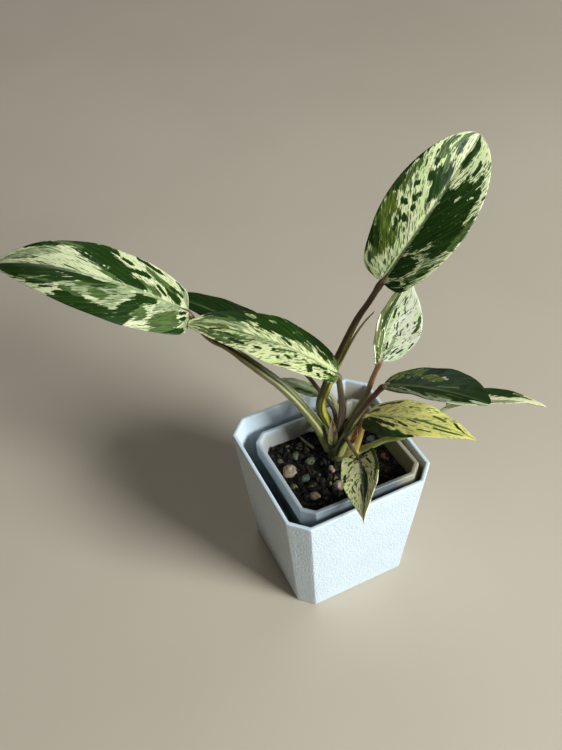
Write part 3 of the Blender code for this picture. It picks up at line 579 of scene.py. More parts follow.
def build_leaf(i):
    base, p = PETIOLES[i][0][-1], LEAVES[i]
    rows = 110 if i in (1, 2, 3) else 84
    cols = 56 if i in (1, 2, 3) else 44
    if i == 5:
        rows, cols = 50, 28
    sr = np.linspace(0, 1, rows + 1)
    tt = 0.35 * sr + 0.65 * (0.5 - 0.5 * np.cos(np.pi * sr))
    sc = np.linspace(-1, 1, cols + 1)
    kk = 0.55 * sc + 0.45 * np.sin(sc * np.pi / 2) * np.abs(sc) ** 0.35
    t, k = np.meshgrid(tt, kk, indexing="ij")
    pts, nrm, v, out = blade_surface(base, p, t, k)
    length, width = p[0], p[1]
    seed = 1.7 * i
    waves = (0.50 * np.sin(2 * np.pi * 1.6 * t + seed + 1.3 * np.sign(k))
             + 0.30 * np.sin(2 * np.pi * 3.7 * t + 2.1 * seed + 0.8 * np.sign(k)))
    size = min(1.0, width / 34.0)
    lift = waves * size * np.abs(k) ** 2.2 * np.sin(np.pi * np.clip(t, 0, 1)) ** 0.5
    # furrow over the rib, with soft shoulders
    lift = lift - 0.34 * np.exp(-(v / 0.75) ** 2) * (1 - 0.7 * t)
    lift = lift + 0.16 * np.exp(-((v - 1.9) / 0.9) ** 2) * (1 - 0.6 * t)
    # side veins, sunk a little, and a gentle quilting between them
    count = length / 5.2
    phase = (0.5 + 0.5 * np.cos(2 * np.pi * count * t + seed))
    fade = smoothstep(1.2, 4.0, v) * (1 - np.abs(k) ** 5)
    lift = lift - 0.11 * phase ** 6 * fade + 0.05 * (1 - phase) * fade
    quilt = np.array([noise.noise(Vector((a * length / 7.0 + seed, b * width / 12.0, seed)))
                      for a, b in zip(t.ravel(), k.ravel())]).reshape(t.shape)
    lift = lift + 0.16 * quilt * fade
    thick = 0.44 - 0.16 * np.abs(k) ** 3
    ends = np.clip(np.minimum(t, 1 - t) / 0.02, 0, 1)
    top = pts + nrm * (lift + thick / 2 * (0.4 + 0.6 * ends))[..., None]
    ridge = (0.75 * np.exp(-(v / 1.0) ** 2) * (1 - 0.78 * t)) * min(1.0, length / 45.0)
    bot = pts + nrm * (lift + 0.30 * np.exp(-(v / 0.75) ** 2) * (1 - 0.7 * t)
                       - thick / 2 * (0.4 + 0.6 * ends) - ridge)[..., None]
    n = (rows + 1) * (cols + 1)
    verts = np.concatenate([top.reshape(-1, 3), bot.reshape(-1, 3)])
    faces = grid_faces(rows + 1, cols + 1)
    mats = [0] * len(faces)
    under = grid_faces(rows + 1, cols + 1, n, flip=True)
    faces += under
    mats += [1] * len(under)
    c1 = cols + 1
    for r in range(rows):
        a, b = r * c1, (r + 1) * c1
        faces.append((a, b, b + n, a + n))
        a, b = r * c1 + cols, (r + 1) * c1 + cols
        faces.append((b, a, a + n, b + n))
        mats += [0, 0]
    fields = tone_fields(MARKS[i], t, k, 2 * length / width)
    tone = np.stack([fields["D"], fields["M"], fields["O"]], -1).reshape(-1, 3) * 0.5 + 0.5
    tone2 = np.stack([fields["L"], fields["L"], fields["L"]], -1).reshape(-1, 3) * 0.5 + 0.5
    geo = np.stack([v / 20.0, t, np.full(t.shape, (i * 0.37) % 1.0)], -1).reshape(-1, 3)
    cream, specks, flecks, ragged, lead, shear, more, pepper, ribbed = LEAF_LOOK[i]
    across = k * width / 2
    uv = np.stack([(t * length - lead * np.abs(across) + shear * across) / 100.0 + i * 1.37,
                   across / 100.0 + i * 0.61], -1).reshape(-1, 2)
    tones = {4: {"dark": (0.0040, 0.0150, 0.0010), "mid": (0.030, 0.060, 0.016)},
             6: {"olive": (0.125, 0.135, 0.045), "glow": 0.35},
             7: {"dark": (0.0085, 0.0220, 0.0030), "pale": (0.34, 0.36, 0.22)},
             10: {"olive": (0.105, 0.115, 0.020)}}.get(i, {})
    face, back = [leaf_material("blade_%02d_%s" % (i, side), cream, specks, flecks, ragged, more,
                                pepper, ribbed, side == "under", **tones)
                  for side in ("upper", "under")]
    ob = make_object("blade_%02d" % i, verts, faces, [face, back], mats,
                     uv={"veins": np.concatenate([uv, uv])},
                     attrs={"tone": np.concatenate([tone, tone]),
                            "tone2": np.concatenate([tone2, tone2]),
                            "geo": np.concatenate([geo, geo])}, merge=0.004)
    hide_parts("leaf_%02d" % i)
    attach(ob, "root")
    return ob


# ------------------------------------------------------------------ stalks
def spline(points, count):
    pts = np.array(points, float)
    ext = np.vstack([2 * pts[0] - pts[1], pts, 2 * pts[-1] - pts[-2]])
    fine = []
    for i in range(1, len(ext) - 2):
        p0, p1, p2, p3 = ext[i - 1:i + 3]
        for a in np.linspace(0, 1, 24, endpoint=False):
            fine.append(0.5 * (2 * p1 + (p2 - p0) * a + (2 * p0 - 5 * p1 + 4 * p2 - p3) * a ** 2
                               + (3 * p1 - p0 - 3 * p2 + p3) * a ** 3))
    fine.append(pts[-1])
    fine = np.array(fine)
    run = np.concatenate([[0], np.cumsum(np.linalg.norm(np.diff(fine, axis=0), axis=1))])
    want = np.linspace(0, run[-1], count)
    return np.stack([np.interp(want, run, fine[:, i]) for i in range(3)], 1), run[-1]


def route_frames(pts, upper):
    """Along, upper-side and sideways axes at each point of a route."""
    along = unit(np.gradient(pts, axis=0))
    up = np.zeros_like(pts)
    ref = np.array(upper, float)
    for i, a in enumerate(along):
        ref = ref - a * np.dot(ref, a)
        ref = ref / np.linalg.norm(ref)
        up[i] = ref
    return along, up, np.cross(along, up)


def stops(table, s):
    xs = [a for a, _ in table]
    cs = np.array([c for _, c in table])
    return np.stack([np.interp(s, xs, cs[:, j]) for j in range(3)], -1)


def petiole_material(name, rough=0.40, streak=0.35):
    m = Shader(name, rough)
    tint = m.attribute("tint").outputs["Color"]
    uv = m.uv("length")
    lines = m.noise(m.scaled(uv, 26, 5), 1.0, 4.0, 0.6)
    blotch = m.noise(m.scaled(uv, 9, 14, shift=(3, 1, 0)), 1.0, 3.0, 0.55)
    f = m.math("ADD", m.step(lines, 0.3, 0.7, 1.0 - streak, 1.0 + streak * 0.6),
               m.step(blotch, 0.35, 0.7, -0.12, 0.12))
    col = m.mix(1.0, tint, m.node("ShaderNodeCombineColor",
                                  {0: f, 1: f, 2: f}).outputs[0], blend="MULTIPLY")
    dots = m.voronoi(m.scaled(uv, 90, 38), 1.0)
    col = m.mix(m.math("MULTIPLY", m.step(dots, 0.16, 0.08), 0.22), col, (0.45, 0.42, 0.22))
    normal = m.bump(m.math("ADD", m.noise(m.scaled(uv, 60, 6), 1.0, 3.0),
                           m.math("MULTIPLY", blotch, 0.5)), 0.35, 0.0003)
    rgh = m.step(blotch, 0.3, 0.7, rough - 0.05, rough + 0.09)
    return m.out(Base_Color=col, Roughness=rgh, Normal=normal)


def colour_by_side(normals, s, left, right, edge=0.14):
    """Left-hand colour on the side away from the picture's right, right-hand on the other; besides the
    stalk's own colour this paints light and shade by the side a surface faces.
    """
    w = smoothstep(0.5 - edge, 0.5 + edge, (1 + normals @ TO_RIGHT) / 2)[..., None]
    return stops(left, s) * (1 - w) + stops(right, s) * w


class Bits:
    """Collects several shells into one object."""

    def __init__(self):
        self.v, self.f, self.uv, self.tint, self.mat = [], [], [], [], []
        self.n = 0

    def add(self, verts, faces, uv, tint, mat=0):
        self.v.append(np.asarray(verts, float))
        self.uv.append(np.asarray(uv, float))
        self.tint.append(np.asarray(tint, float))
        self.f += [tuple(i + self.n for i in f) for f in faces]
        self.mat += [mat] * len(faces)
        self.n += len(verts)

    def build(self, name, mats, merge=0.003):
        return make_object(name, np.concatenate(self.v), self.f, mats, self.mat,
                           uv={"length": np.concatenate(self.uv)},
                           attrs={"tint": np.concatenate(self.tint)}, merge=merge)


def stalk(bits, pts, radius, upper, groove, ridge, left, right, ring=28, dark=0.0, seed=0.0,
          flat=0.0, stripe=0.0):
    along, up, side = route_frames(pts, upper)
    n = len(pts)
    s = np.linspace(0, 1, n)
    a = np.linspace(0, 2 * np.pi, ring, endpoint=False)
    rel = np.abs((a + np.pi) % (2 * np.pi) - np.pi)       # 0 on the upper side
    g = (groove(s)[:, None] if callable(groove) else groove) * np.exp(-(rel / 0.42) ** 2)[None]
    r = (ridge(s)[:, None] if callable(ridge) else ridge) * np.exp(-((rel - 0.85) / 0.30) ** 2)[None]
    wob = np.array([[noise.noise(Vector((math.cos(q) * 0.9, math.sin(q) * 0.9, z * 9 + seed)))
                     for q in a] for z in s])
    rad = radius[:, None] * (1 - g + r + 0.035 * wob)
    ca, sa = np.cos(a), np.sin(a)
    d = up[:, None] * ca[None, :, None] + side[:, None] * (sa * (1 + flat))[None, :, None]
    nrm = up[:, None] * ca[None, :, None] + side[:, None] * sa[None, :, None]
    verts = pts[:, None] + d * rad[..., None]
    # painted light and shade: colour chosen by the side each surface faces
    tint = colour_by_side(nrm, np.repeat(s[:, None], ring, 1), left, right)
    # painted shade: darker along the groove on the upper side
    if dark:
        tint = tint * (1 - dark * np.exp(-(rel / 0.34) ** 2)[None, :, None])
    if stripe:
        # pale shoulders beside the groove, dying out toward the blade
        w = (np.exp(-((rel - 0.74) / 0.20) ** 2) * stripe)[None, :, None] \
            * np.interp(s, [0, .08, .6, .72], [.4, 1, 1, 0])[:, None, None]
        tint = tint * (1 - w) + np.array((.50, .44, .20)) * w
    length = np.concatenate([[0], np.cumsum(np.linalg.norm(np.diff(pts, axis=0), axis=1))])
    uv = np.stack([np.repeat((length / 10.0)[:, None], ring, 1) * 0.25,
                   np.repeat((a / (2 * np.pi))[None] * 2, n, 0)], -1)
    uv = uv[..., ::-1]
    verts_l = verts.reshape(-1, 3)
    faces = grid_faces(n, ring, wrap=True)
    faces.append(tuple(range(ring - 1, -1, -1)))
    faces.append(tuple((n - 1) * ring + j for j in range(ring)))
    bits.add(verts_l, faces, uv.reshape(-1, 2), tint.reshape(-1, 3))


def sheath(bits, pts, radius, upper, s0, s1, turn, spread, flare, left, right, rows=40, cols=12,
           thick=0.35, lift=0.18, sharp=2.2, start_close=0.25):
    """A thin skin that clasps a stalk from s0 to s1 and ends in a free tip."""
    along, up, side = route_frames(pts, upper)
    n = len(pts)
    sv = np.linspace(0, 1, n)
    u = np.linspace(0, 1, rows)
    s = s0 + (s1 - s0) * u

    def ip(a):
        return np.stack([np.interp(s, sv, a[:, i]) for i in range(3)], 1)

    c, uu, ss = ip(pts), ip(up), ip(side)
    rad = np.interp(s, sv, radius)
    half = math.radians(spread) * (1 - u ** sharp) * (start_close + (1 - start_close)
                                                       * smoothstep(0, 0.25, u)) + 0.02
    off = lift * smoothstep(0.0, 0.12, u) - 0.12 + flare * u ** 4
    m = np.linspace(-1, 1, cols)
    ang = math.radians(turn) + half[:, None] * m[None]
    edge = 0.15 * m[None] ** 2 * smoothstep(0.1, 0.5, u)[:, None]
    dirn = uu[:, None] * np.cos(ang)[..., None] + ss[:, None] * np.sin(ang)[..., None]
    outer = c[:, None] + dirn * (rad + off)[:, None, None] + dirn * edge[..., None] \
        + dirn * thick / 2
    inner = outer - dirn * thick * (1 - 0.6 * np.abs(m)[None, :, None] ** 2)
    count = rows * cols
    verts = np.concatenate([outer.reshape(-1, 3), inner.reshape(-1, 3)])
    faces = grid_faces(rows, cols) + grid_faces(rows, cols, count, flip=True)
    for r in range(rows - 1):
        a, b = r * cols, (r + 1) * cols
        faces.append((a, b, b + count, a + count))
        a, b = r * cols + cols - 1, (r + 1) * cols + cols - 1
        faces.append((b, a, a + count, b + count))
    for j in range(cols - 1):
        faces.append((j + 1, j, j + count, j + 1 + count))
        a = (rows - 1) * cols + j
        faces.append((a, a + 1, a + 1 + count, a + count))
    w = (1 + m[None] * 1.0) / 2 * np.ones((rows, 1))
    tint = stops(left, np.repeat(u[:, None], cols, 1)) * (1 - w[..., None]) \
        + stops(right, np.repeat(u[:, None], cols, 1)) * w[..., None]
    uv = np.stack([np.repeat(m[None] * 0.4, rows, 0), np.repeat(u[:, None] * 3, cols, 1)], -1)
    bits.add(verts, faces, np.concatenate([uv.reshape(-1, 2)] * 2),
             np.concatenate([tint.reshape(-1, 3)] * 2))


PETIOLE_LOOK = {
    # upper side, groove, ridges, colours from crown to blade on the left and right (the stalk's own colour
    # with painted light and shade)
    1: ((0.35, -0.55, 0.75), 0.34, 0.10,
        [(0, (.32, .33, .13)), (.3, (.36, .35, .12)), (.62, (.24, .22, .07)), (.72, (.30, .17, .09)), (1, (.30, .14, .10))],
        [(0, (.20, .22, .07)), (.3, (.20, .23, .06)), (.62, (.13, .15, .035)), (.72, (.20, .13, .06)), (1, (.22, .10, .07))]),
    2: ((-0.4, -0.5, 0.7), 0.10, 0.04,
        [(0, (.12, .13, .03)), (.28, (.10, .10, .025)), (.45, (.08, .045, .020)), (1, (.115, .052, .030))],
        [(0, (.62, .58, .08)), (.26, (.60, .54, .07)), (.40, (.50, .50, .10)), (.54, (.44, .43, .09)),
         (.68, (.14, .09, .030)), (1, (.075, .036, .020))]),
    3: ((-0.2, -0.6, 0.7), 0.12, 0.05,
        [(0, (.20, .17, .08)), (.4, (.15, .10, .07)), (1, (.135, .085, .062))],
        [(0, (.12, .10, .04)), (.4, (.11, .075, .045)), (1, (.14, .12, .045))]),
    4: ((0.3, -0.6, 0.7), 0.10, 0.04,
        [(0, (.20, .12, .07)), (1, (.17, .10, .065))], [(0, (.14, .08, .04)), (1, (.13, .075, .045))]),
    5: ((0.0, -0.6, 0.7), 0.10, 0.04,
        [(0, (.36, .28, .10)), (.4, (.66, .62, .28)), (1, (.74, .72, .44))],
        [(0, (.30, .22, .08)), (.4, (.60, .55, .22)), (1, (.70, .66, .36))]),
    6: ((-0.5, -0.5, 0.6), 0.14, 0.05,
        [(0, (.26, .28, .08)), (.45, (.36, .33, .10)), (.7, (.34, .20, .10)), (1, (.30, .13, .075))],
        [(0, (.20, .17, .05)), (.45, (.20, .11, .05)), (.7, (.28, .115, .055)), (1, (.25, .09, .050))]),
    7: ((-0.5, -0.5, 0.6), 0.14, 0.05,
        [(0, (.26, .26, .10)), (.12, (.10, .13, .035)), (.45, (.09, .10, .030)), (.6, (.13, .065, .040)), (1, (.18, .075, .050))],
        [(0, (.52, .46, .18)), (.14, (.44, .40, .13)), (.42, (.26, .21, .065)), (.58, (.17, .065, .038)), (1, (.17, .060, .038))]),
    8: ((0.0, -0.4, 0.9), 0.16, 0.06,
        [(0, (.34, .37, .10)), (.45, (.46, .52, .14)), (.6, (.32, .34, .11)), (1, (.34, .35, .13))],
        [(0, (.26, .28, .07)), (.45, (.34, .38, .09)), (.6, (.26, .26, .08)), (1, (.26, .26, .10))]),
    9: ((-0.4, -0.6, 0.5), 0.12, 0.04,
        [(0, (.52, .46, .14)), (.5, (.66, .52, .13)), (1, (.60, .58, .26))],
        [(0, (.60, .42, .10)), (.5, (.72, .42, .07)), (1, (.62, .48, .12))]),
    10: ((0.2, -0.3, 0.9), 0.10, 0.04,
         [(0, (.16, .10, .06)), (1, (.22, .16, .08))], [(0, (.13, .07, .045)), (1, (.20, .14, .06))]),
}


def build_petiole(i, mat):
    route, r0, r1, r2 = PETIOLES[i]
    p = LEAVES[i]
    _, rib, _, _, rib_up = midrib(route[-1], p)
    # run on under the blade and die out in its rib
    far = max(3, int(0.10 * (len(rib) - 1)))
    pts, _ = spline(route, 74)
    inside = []
    for j in np.linspace(1, far, 8).astype(int):
        inside.append(rib[j] - rib_up[j] * (0.62 + 0.15 * j / far))
    pts = np.vstack([pts[:-1], [pts[-1] - rib_up[0] * 0.45], inside])
    if i == 7:
        # its foot laps over the front of the crown
        pts[:24] += (TO_CAMERA * 4.8 - TO_RIGHT * 0.9) \
            * smoothstep(24, 4, np.arange(24.0))[:, None]
    # even out the join
    for _ in range(3):
        pts[60:-1] = (pts[59:-2] + 2 * pts[60:-1] + pts[61:]) / 4
    n = len(pts)
    s = np.linspace(0, 1, n)
    main = n - 9
    f = np.clip(np.arange(n) / main, 0, 1)
    radius = np.where(f < 0.5, r0 + (r1 - r0) * f * 2, r1 + (r2 - r1) * (f - 0.5) * 2)
    if i == 1:
        radius = np.interp(f, [0, .25, .55, .66, .72, 1], [2.9, 2.6, 2.35, 2.0, 1.4, 1.15])
    if i == 2:
        radius = np.interp(f, [0, .2, .4, .55, .8, 1], [2.8, 2.55, 2.35, 1.9, 1.45, 1.35])
    if i == 7:
        radius = np.interp(f, [0, .15, .35, .5, .75, 1], [1.9, 2.6, 2.2, 1.8, 1.45, 1.3])
    if i == 5:
        radius = radius * 1.35
    if i == 9:
        radius = radius * 1.12
    after = np.clip((np.arange(n) - main) / 8.0, 0, 1)
    radius = radius * (1 + 0.22 * np.exp(-((f - 0.97) / 0.03) ** 2) * (after < 0.3)) \
        * (1 - 0.72 * after)
    # the foot widens into a clasping base
    radius = radius * (1 + 0.35 * np.exp(-(f / 0.10) ** 2))
    upper, groove, ridge, left, right = PETIOLE_LOOK[i]
    if i == 1:
        groove_f = (lambda q: np.interp(q, [0, .1, .3, .6, .7, 1], [.1, .3, .42, .34, .16, .1]))
        ridge_f = (lambda q: np.interp(q, [0, .1, .3, .6, .7, 1], [0, .1, .16, .14, .02, .02]))
    else:
        groove_f, ridge_f = groove, ridge
    bits = Bits()
    stalk(bits, pts, radius, upper, groove_f, ridge_f, left, right,
          ring=44 if i == 1 else 30, dark={1: 0.78, 7: 0.55, 6: 0.4}.get(i, 0.28), seed=2.3 * i,
          stripe={1: 0.8, 7: 0.35, 6: 0.35}.get(i, 0.0))
    if i == 2:
        sheath(bits, pts, radius, (0.9, -0.45, 0.0), 0.02, 0.735, 0, 84, 3.2,
               [(0, (.48, .48, .08)), (.3, (.58, .55, .07)), (.62, (.40, .34, .06)), (1, (.66, .60, .18))],
               [(0, (.60, .56, .09)), (.3, (.66, .60, .08)), (.62, (.32, .20, .05)), (1, (.56, .40, .12))],
               rows=60, lift=0.25, start_close=1.0)
    if i == 6:
        sheath(bits, pts, radius, (-0.8, -0.6, 0.2), 0.30, 0.72, 0, 80, 0.5,
               [(0, (.30, .32, .08)), (.6, (.34, .33, .11)), (1, (.30, .22, .10))],
               [(0, (.28, .28, .08)), (.6, (.26, .20, .07)), (1, (.24, .13, .07))])
    if i == 7:
        sheath(bits, pts, radius, (0.6, -0.7, 0.1), 0.0, 0.50, 0, 84, 0.35,
               [(0, (.50, .46, .20)), (.12, (.34, .33, .10)), (.4, (.22, .21, .07)), (1, (.17, .12, .06))],
               [(0, (.60, .52, .24)), (.12, (.44, .40, .14)), (.4, (.32, .27, .09)), (1, (.16, .09, .05))],
               lift=0.35, start_close=1.0)
    if i == 8:
        sheath(bits, pts, radius, (-0.1, 0.3, 1.0), 0.04, 0.56, 0, 92, 1.0,
               [(0, (.30, .33, .09)), (.6, (.42, .46, .13)), (1, (.40, .42, .14))],
               [(0, (.26, .28, .07)), (.6, (.32, .36, .09)), (1, (.34, .36, .12))])
    if i == 9:
        sheath(bits, pts, radius, (-1.0, -0.3, 0.1), 0.10, 0.97, 0, 78, 0.8,
               [(0, (.50, .46, .15)), (.5, (.62, .54, .17)), (1, (.62, .62, .34))],
               [(0, (.56, .42, .10)), (.5, (.70, .50, .12)), (1, (.60, .54, .22))])
    if i == 3:
        sheath(bits, pts, radius, (0.9, -0.4, 0.0), 0.0, 0.60, 0, 70, 0.35,
               [(0, (.17, .14, .06)), (.6, (.13, .11, .045)), (1, (.16, .10, .05))],
               [(0, (.13, .11, .04)), (.6, (.11, .09, .035)), (1, (.12, .08, .04))])
    if i == 1:
        sheath(bits, pts, radius, (0.35, -0.55, 0.75), 0.02, 0.64, 48, 34, 0.5,
               [(0, (.15, .16, .05)), (.6, (.20, .21, .06)), (1, (.20, .18, .06))],
               [(0, (.12, .13, .04)), (.6, (.16, .17, .05)), (1, (.16, .14, .05))], lift=0.1)
    ob = bits.build("stalk_%02d" % i, [mat])
    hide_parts("petiole_%02d" % i)
    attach(ob, "root")
    return ob


# ------------------------------------------------------------------- crown
def blob(centre, radii, seg=48, rings=32, rough=0.08, scale=0.35, seed=0.0, axis=None):
    """A lumpy closed ball, its points, faces and outward normals."""
    verts, nrm = [], []
    for i in range(rings + 1):
        th = math.pi * i / rings
        for j in range(seg):
            ph = 2 * math.pi * j / seg
            verts.append((math.sin(th) * math.cos(ph), math.sin(th) * math.sin(ph), math.cos(th)))
    nrm = np.array(verts)
    pts = nrm * np.array(radii)
    k = np.array([fbm(*p, scale, 4, seed) for p in pts])
    pts = pts * (1 + rough * k)[:, None]
    if axis is not None:
        rot = np.array(Vector((0, 0, 1)).rotation_difference(Vector(axis)).to_matrix())
        pts, nrm = pts @ rot.T, nrm @ rot.T
    return pts + np.array(centre), grid_faces(rings + 1, seg, flip=True, wrap=True), nrm


def build_crown(mat):
    bits = Bits()
    parts = [
        ((7.2, 2.6, 69.6), (6.0, 5.0, 10.6), (.105, .105, .034), 1.0, None),
        ((5.0, 5.0, 76.0), (3.3, 2.8, 7.0), (.15, .16, .050), 2.0, (-.25, .2, 1)),
        ((8.6, 4.0, 77.5), (3.0, 2.6, 7.5), (.15, .12, .055), 3.0, (.1, .1, 1)),
        ((4.6, 1.2, 74.0), (2.4, 2.2, 5.4), (.13, .14, .045), 4.0, (-.2, -.1, 1)),
        ((11.2, 0.2, 74.4), (3.0, 2.8, 7.0), (.26, .24, .075), 5.0, (.35, -.1, 1)),
        ((14.0, -0.6, 72.4), (2.6, 2.4, 5.0), (.30, .26, .080), 6.0, (.3, 0, 1)),
    ]
    for c, r, col, seed, axis in parts:
        v, f, n = blob(c, r, rough=0.10, scale=0.33, seed=seed, axis=axis)
        z = (v[:, 2] - 62) / 24
        # painted shade: darker toward the bottom, lighter toward the top
        shade = 0.75 + 0.35 * np.clip(z, 0, 1)
        tint = np.array(col)[None] * shade[:, None]
        ring = 0.5 + 0.5 * np.sin(v[:, 2] * 2.3 + 1.5 * np.sin(v[:, 0]))
        brown = np.array((.11, .065, .03))
        mixf = (smoothstep(0.80, 0.98, ring) * 0.6)[:, None]
        tint = tint * (1 - mixf) + brown[None] * mixf
        uv = np.stack([np.arctan2(n[:, 1], n[:, 0]) / 3.0, v[:, 2] / 10.0], 1)
        bits.add(v, f, uv, tint)
    ob = bits.build("crown", [mat], merge=0.002)
    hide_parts("crown_stem")
    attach(ob, "root")


def build_scale(name, node, base, length, width, az, el, bend, cup, colours, mat, seed):
    """A dry, curled bud scale with a ragged edge."""
    p = (length, width, az, el, bend, 1.0, 0, 0, 0, cup, 0.0, 0.35, 0.8, 0.0, 0.0)
    rows, cols = 36, 18
    tt = np.linspace(0, 1, rows)
    kk = np.linspace(-1, 1, cols)
    t, k = np.meshgrid(tt, kk, indexing="ij")
    pts, nrm, v, _ = blade_surface(base, p, t, k)
    ripple = np.array([noise.noise(Vector((a * 6 + seed, b * 1.5, seed)))
                       for a, b in zip(t.ravel(), k.ravel())]).reshape(t.shape)
    pts = pts + nrm * (0.45 * ripple)[..., None]
    top = pts + nrm * 0.1
    bot = pts - nrm * 0.1
    n = rows * cols
    verts = np.concatenate([top.reshape(-1, 3), bot.reshape(-1, 3)])
    faces = grid_faces(rows, cols) + grid_faces(rows, cols, n, flip=True)
    for r in range(rows - 1):
        a, b = r * cols, (r + 1) * cols
        faces.append((a, b, b + n, a + n))
        a, b = r * cols + cols - 1, (r + 1) * cols + cols - 1
        faces.append((b, a, a + n, b + n))
    tint = stops(colours, t) * (1 + 0.5 * ripple)[..., None]
    bits = Bits()
    uv = np.stack([k * 0.5, t * 2], -1).reshape(-1, 2)
    bits.add(verts, faces, np.concatenate([uv, uv]),
             np.concatenate([tint.reshape(-1, 3)] * 2))
    ob = bits.build(name, [mat])
    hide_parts(node)
    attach(ob, "root")


def build_root(name, node, route, r0, r1, colours, mat, seed):
    pts, _ = spline(route, 40)
    s = np.linspace(0, 1, 40)
    radius = r0 + (r1 - r0) * s
    radius = radius * (1 + 0.12 * np.sin(s * 31 + seed)) * np.sqrt(np.clip((1 - s) / 0.12, 0.04, 1))
    bits = Bits()
    stalk(bits, pts, radius, (0, 0, 1), 0.0, 0.0, colours, colours, ring=18, seed=seed)
    ob = bits.build(name, [mat])
    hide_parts(node)
    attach(ob, "root")


# -------------------------------------------------------------------- pots
def outline(half, cut, rad, per_wall, per_corner, arc):
    """Square with cut corners, its eight edges rounded, anticlockwise."""
    a = half - cut
    pts = [(-a, -half), (a, -half), (half, -a), (half, a), (a, half), (-a, half),
           (-half, a), (-half, -a)]
    out = []
    for i in range(8):
        p, q, r = (np.array(pts[(i + d) % 8], float) for d in (-1, 0, 1))
        d0, d1 = unit(p - q), unit(r - q)
        turn = math.radians(45)
        back = rad * math.tan(turn / 2)
        s, e = q + d0 * back, q + d1 * back
        centre = q + unit(d0 + d1) * (rad / math.cos(turn / 2))
        a0 = math.atan2(*(s - centre)[::-1])
        a1 = math.atan2(*(e - centre)[::-1])
        while a1 < a0:
            a1 += 2 * math.pi
        for j in range(arc + 1):
            w = a0 + (a1 - a0) * j / arc
            out.append((centre[0] + rad * math.cos(w), centre[1] + rad * math.sin(w)))
        nxt = np.array(pts[(i + 2) % 8], float)
        e2 = r + unit(q - r) * back
        count = per_wall if i % 2 == 0 else per_corner
        for j in range(1, count):
            out.append(tuple(e + (e2 - e) * j / count))
    return np.array(out)


def stack(rings, close=True):
    """Skin a list of rings (N x 3 arrays) and close both ends."""
    n = len(rings[0])
    verts = np.concatenate(rings)
    faces = grid_faces(len(rings), n, wrap=True)
    if close:
        verts = np.concatenate([verts, [rings[0].mean(0), rings[-1].mean(0)]])
        a, b = len(verts) - 2, len(verts) - 1
        last = (len(rings) - 1) * n
        for j in range(n):
            faces.append((a, (j + 1) % n, j))
            faces.append((b, last + j, last + (j + 1) % n))
    return verts, faces


def ring_at(half, cut, z, rad=1.2, per_wall=26, per_corner=6, arc=4):
    o = outline(half, cut, min(rad, cut * 0.9), per_wall, per_corner, arc)
    return np.column_stack([o, np.full(len(o), z)])


def offset(section, d):
    return section[0] + d, section[1] + d * (2 - math.sqrt(2))


def cover_pot_material():
    m = Shader("white_pebbled_plastic", 0.55, 0.45)
    p = m.here()
    n = m.node("ShaderNodeNewGeometry")
    x, y, z = (m.node("ShaderNodeSeparateXYZ", {"Vector": p}).outputs[i] for i in range(3))
    wear = m.noise(p, 60, 3.0)
    base = m.mix(m.step(wear, 0.3, 0.75), (0.655, 0.735, 0.785), (0.62, 0.70, 0.755))
    dust = m.noise(p, 900, 2.0)
    base = m.mix(m.math("MULTIPLY", m.step(dust, 0.66, 0.74), 0.12), base, (0.55, 0.52, 0.48))
    # grains about a millimetre across, outside only
    warp = m.noise(p, 500, 2.0)
    grain = m.voronoi(m.node("ShaderNodeVectorMath", {0: p, 1: m.node(
        "ShaderNodeCombineXYZ", {0: m.math("MULTIPLY", warp, 0.0012),
                                 1: m.math("MULTIPLY", warp, -0.0010),
                                 2: m.math("MULTIPLY", warp, 0.0008)}).outputs[0]},
        operation="ADD").outputs[0], 1050.0, "SMOOTH_F1")
    small = m.noise(p, 2600, 3.0, 0.6)
    outside, right_wall_shade, _ = m.split(m.attribute("side").outputs["Color"])
    # painted shade: a mottled warm grey-brown on the inside right-hand wall
    base = m.mix(m.math("MULTIPLY", right_wall_shade, m.step(m.noise(p, 130, 4.0, 0.6), 0.25, 0.6, 0.6, 1.0)),
                 base, (0.66, 0.59, 0.46))
    height = m.math("ADD", m.math("MULTIPLY", grain, -1.0), m.math("MULTIPLY", small, 0.25))
    height = m.math("MULTIPLY", height, outside)
    normal = m.bump(height, 0.85, 0.00038)
    # painted shade: a darker, bluer grey in the dips between the grains, outside only
    dip_shade = m.step(grain, 0.25, 0.75)
    base = m.mix(m.math("MULTIPLY", m.math("MULTIPLY", dip_shade, outside), 0.20), base,
                 (0.60, 0.64, 0.70))
    return m.out(Base_Color=base, Roughness=m.step(small, 0.3, 0.7, 0.46, 0.64), Normal=normal)


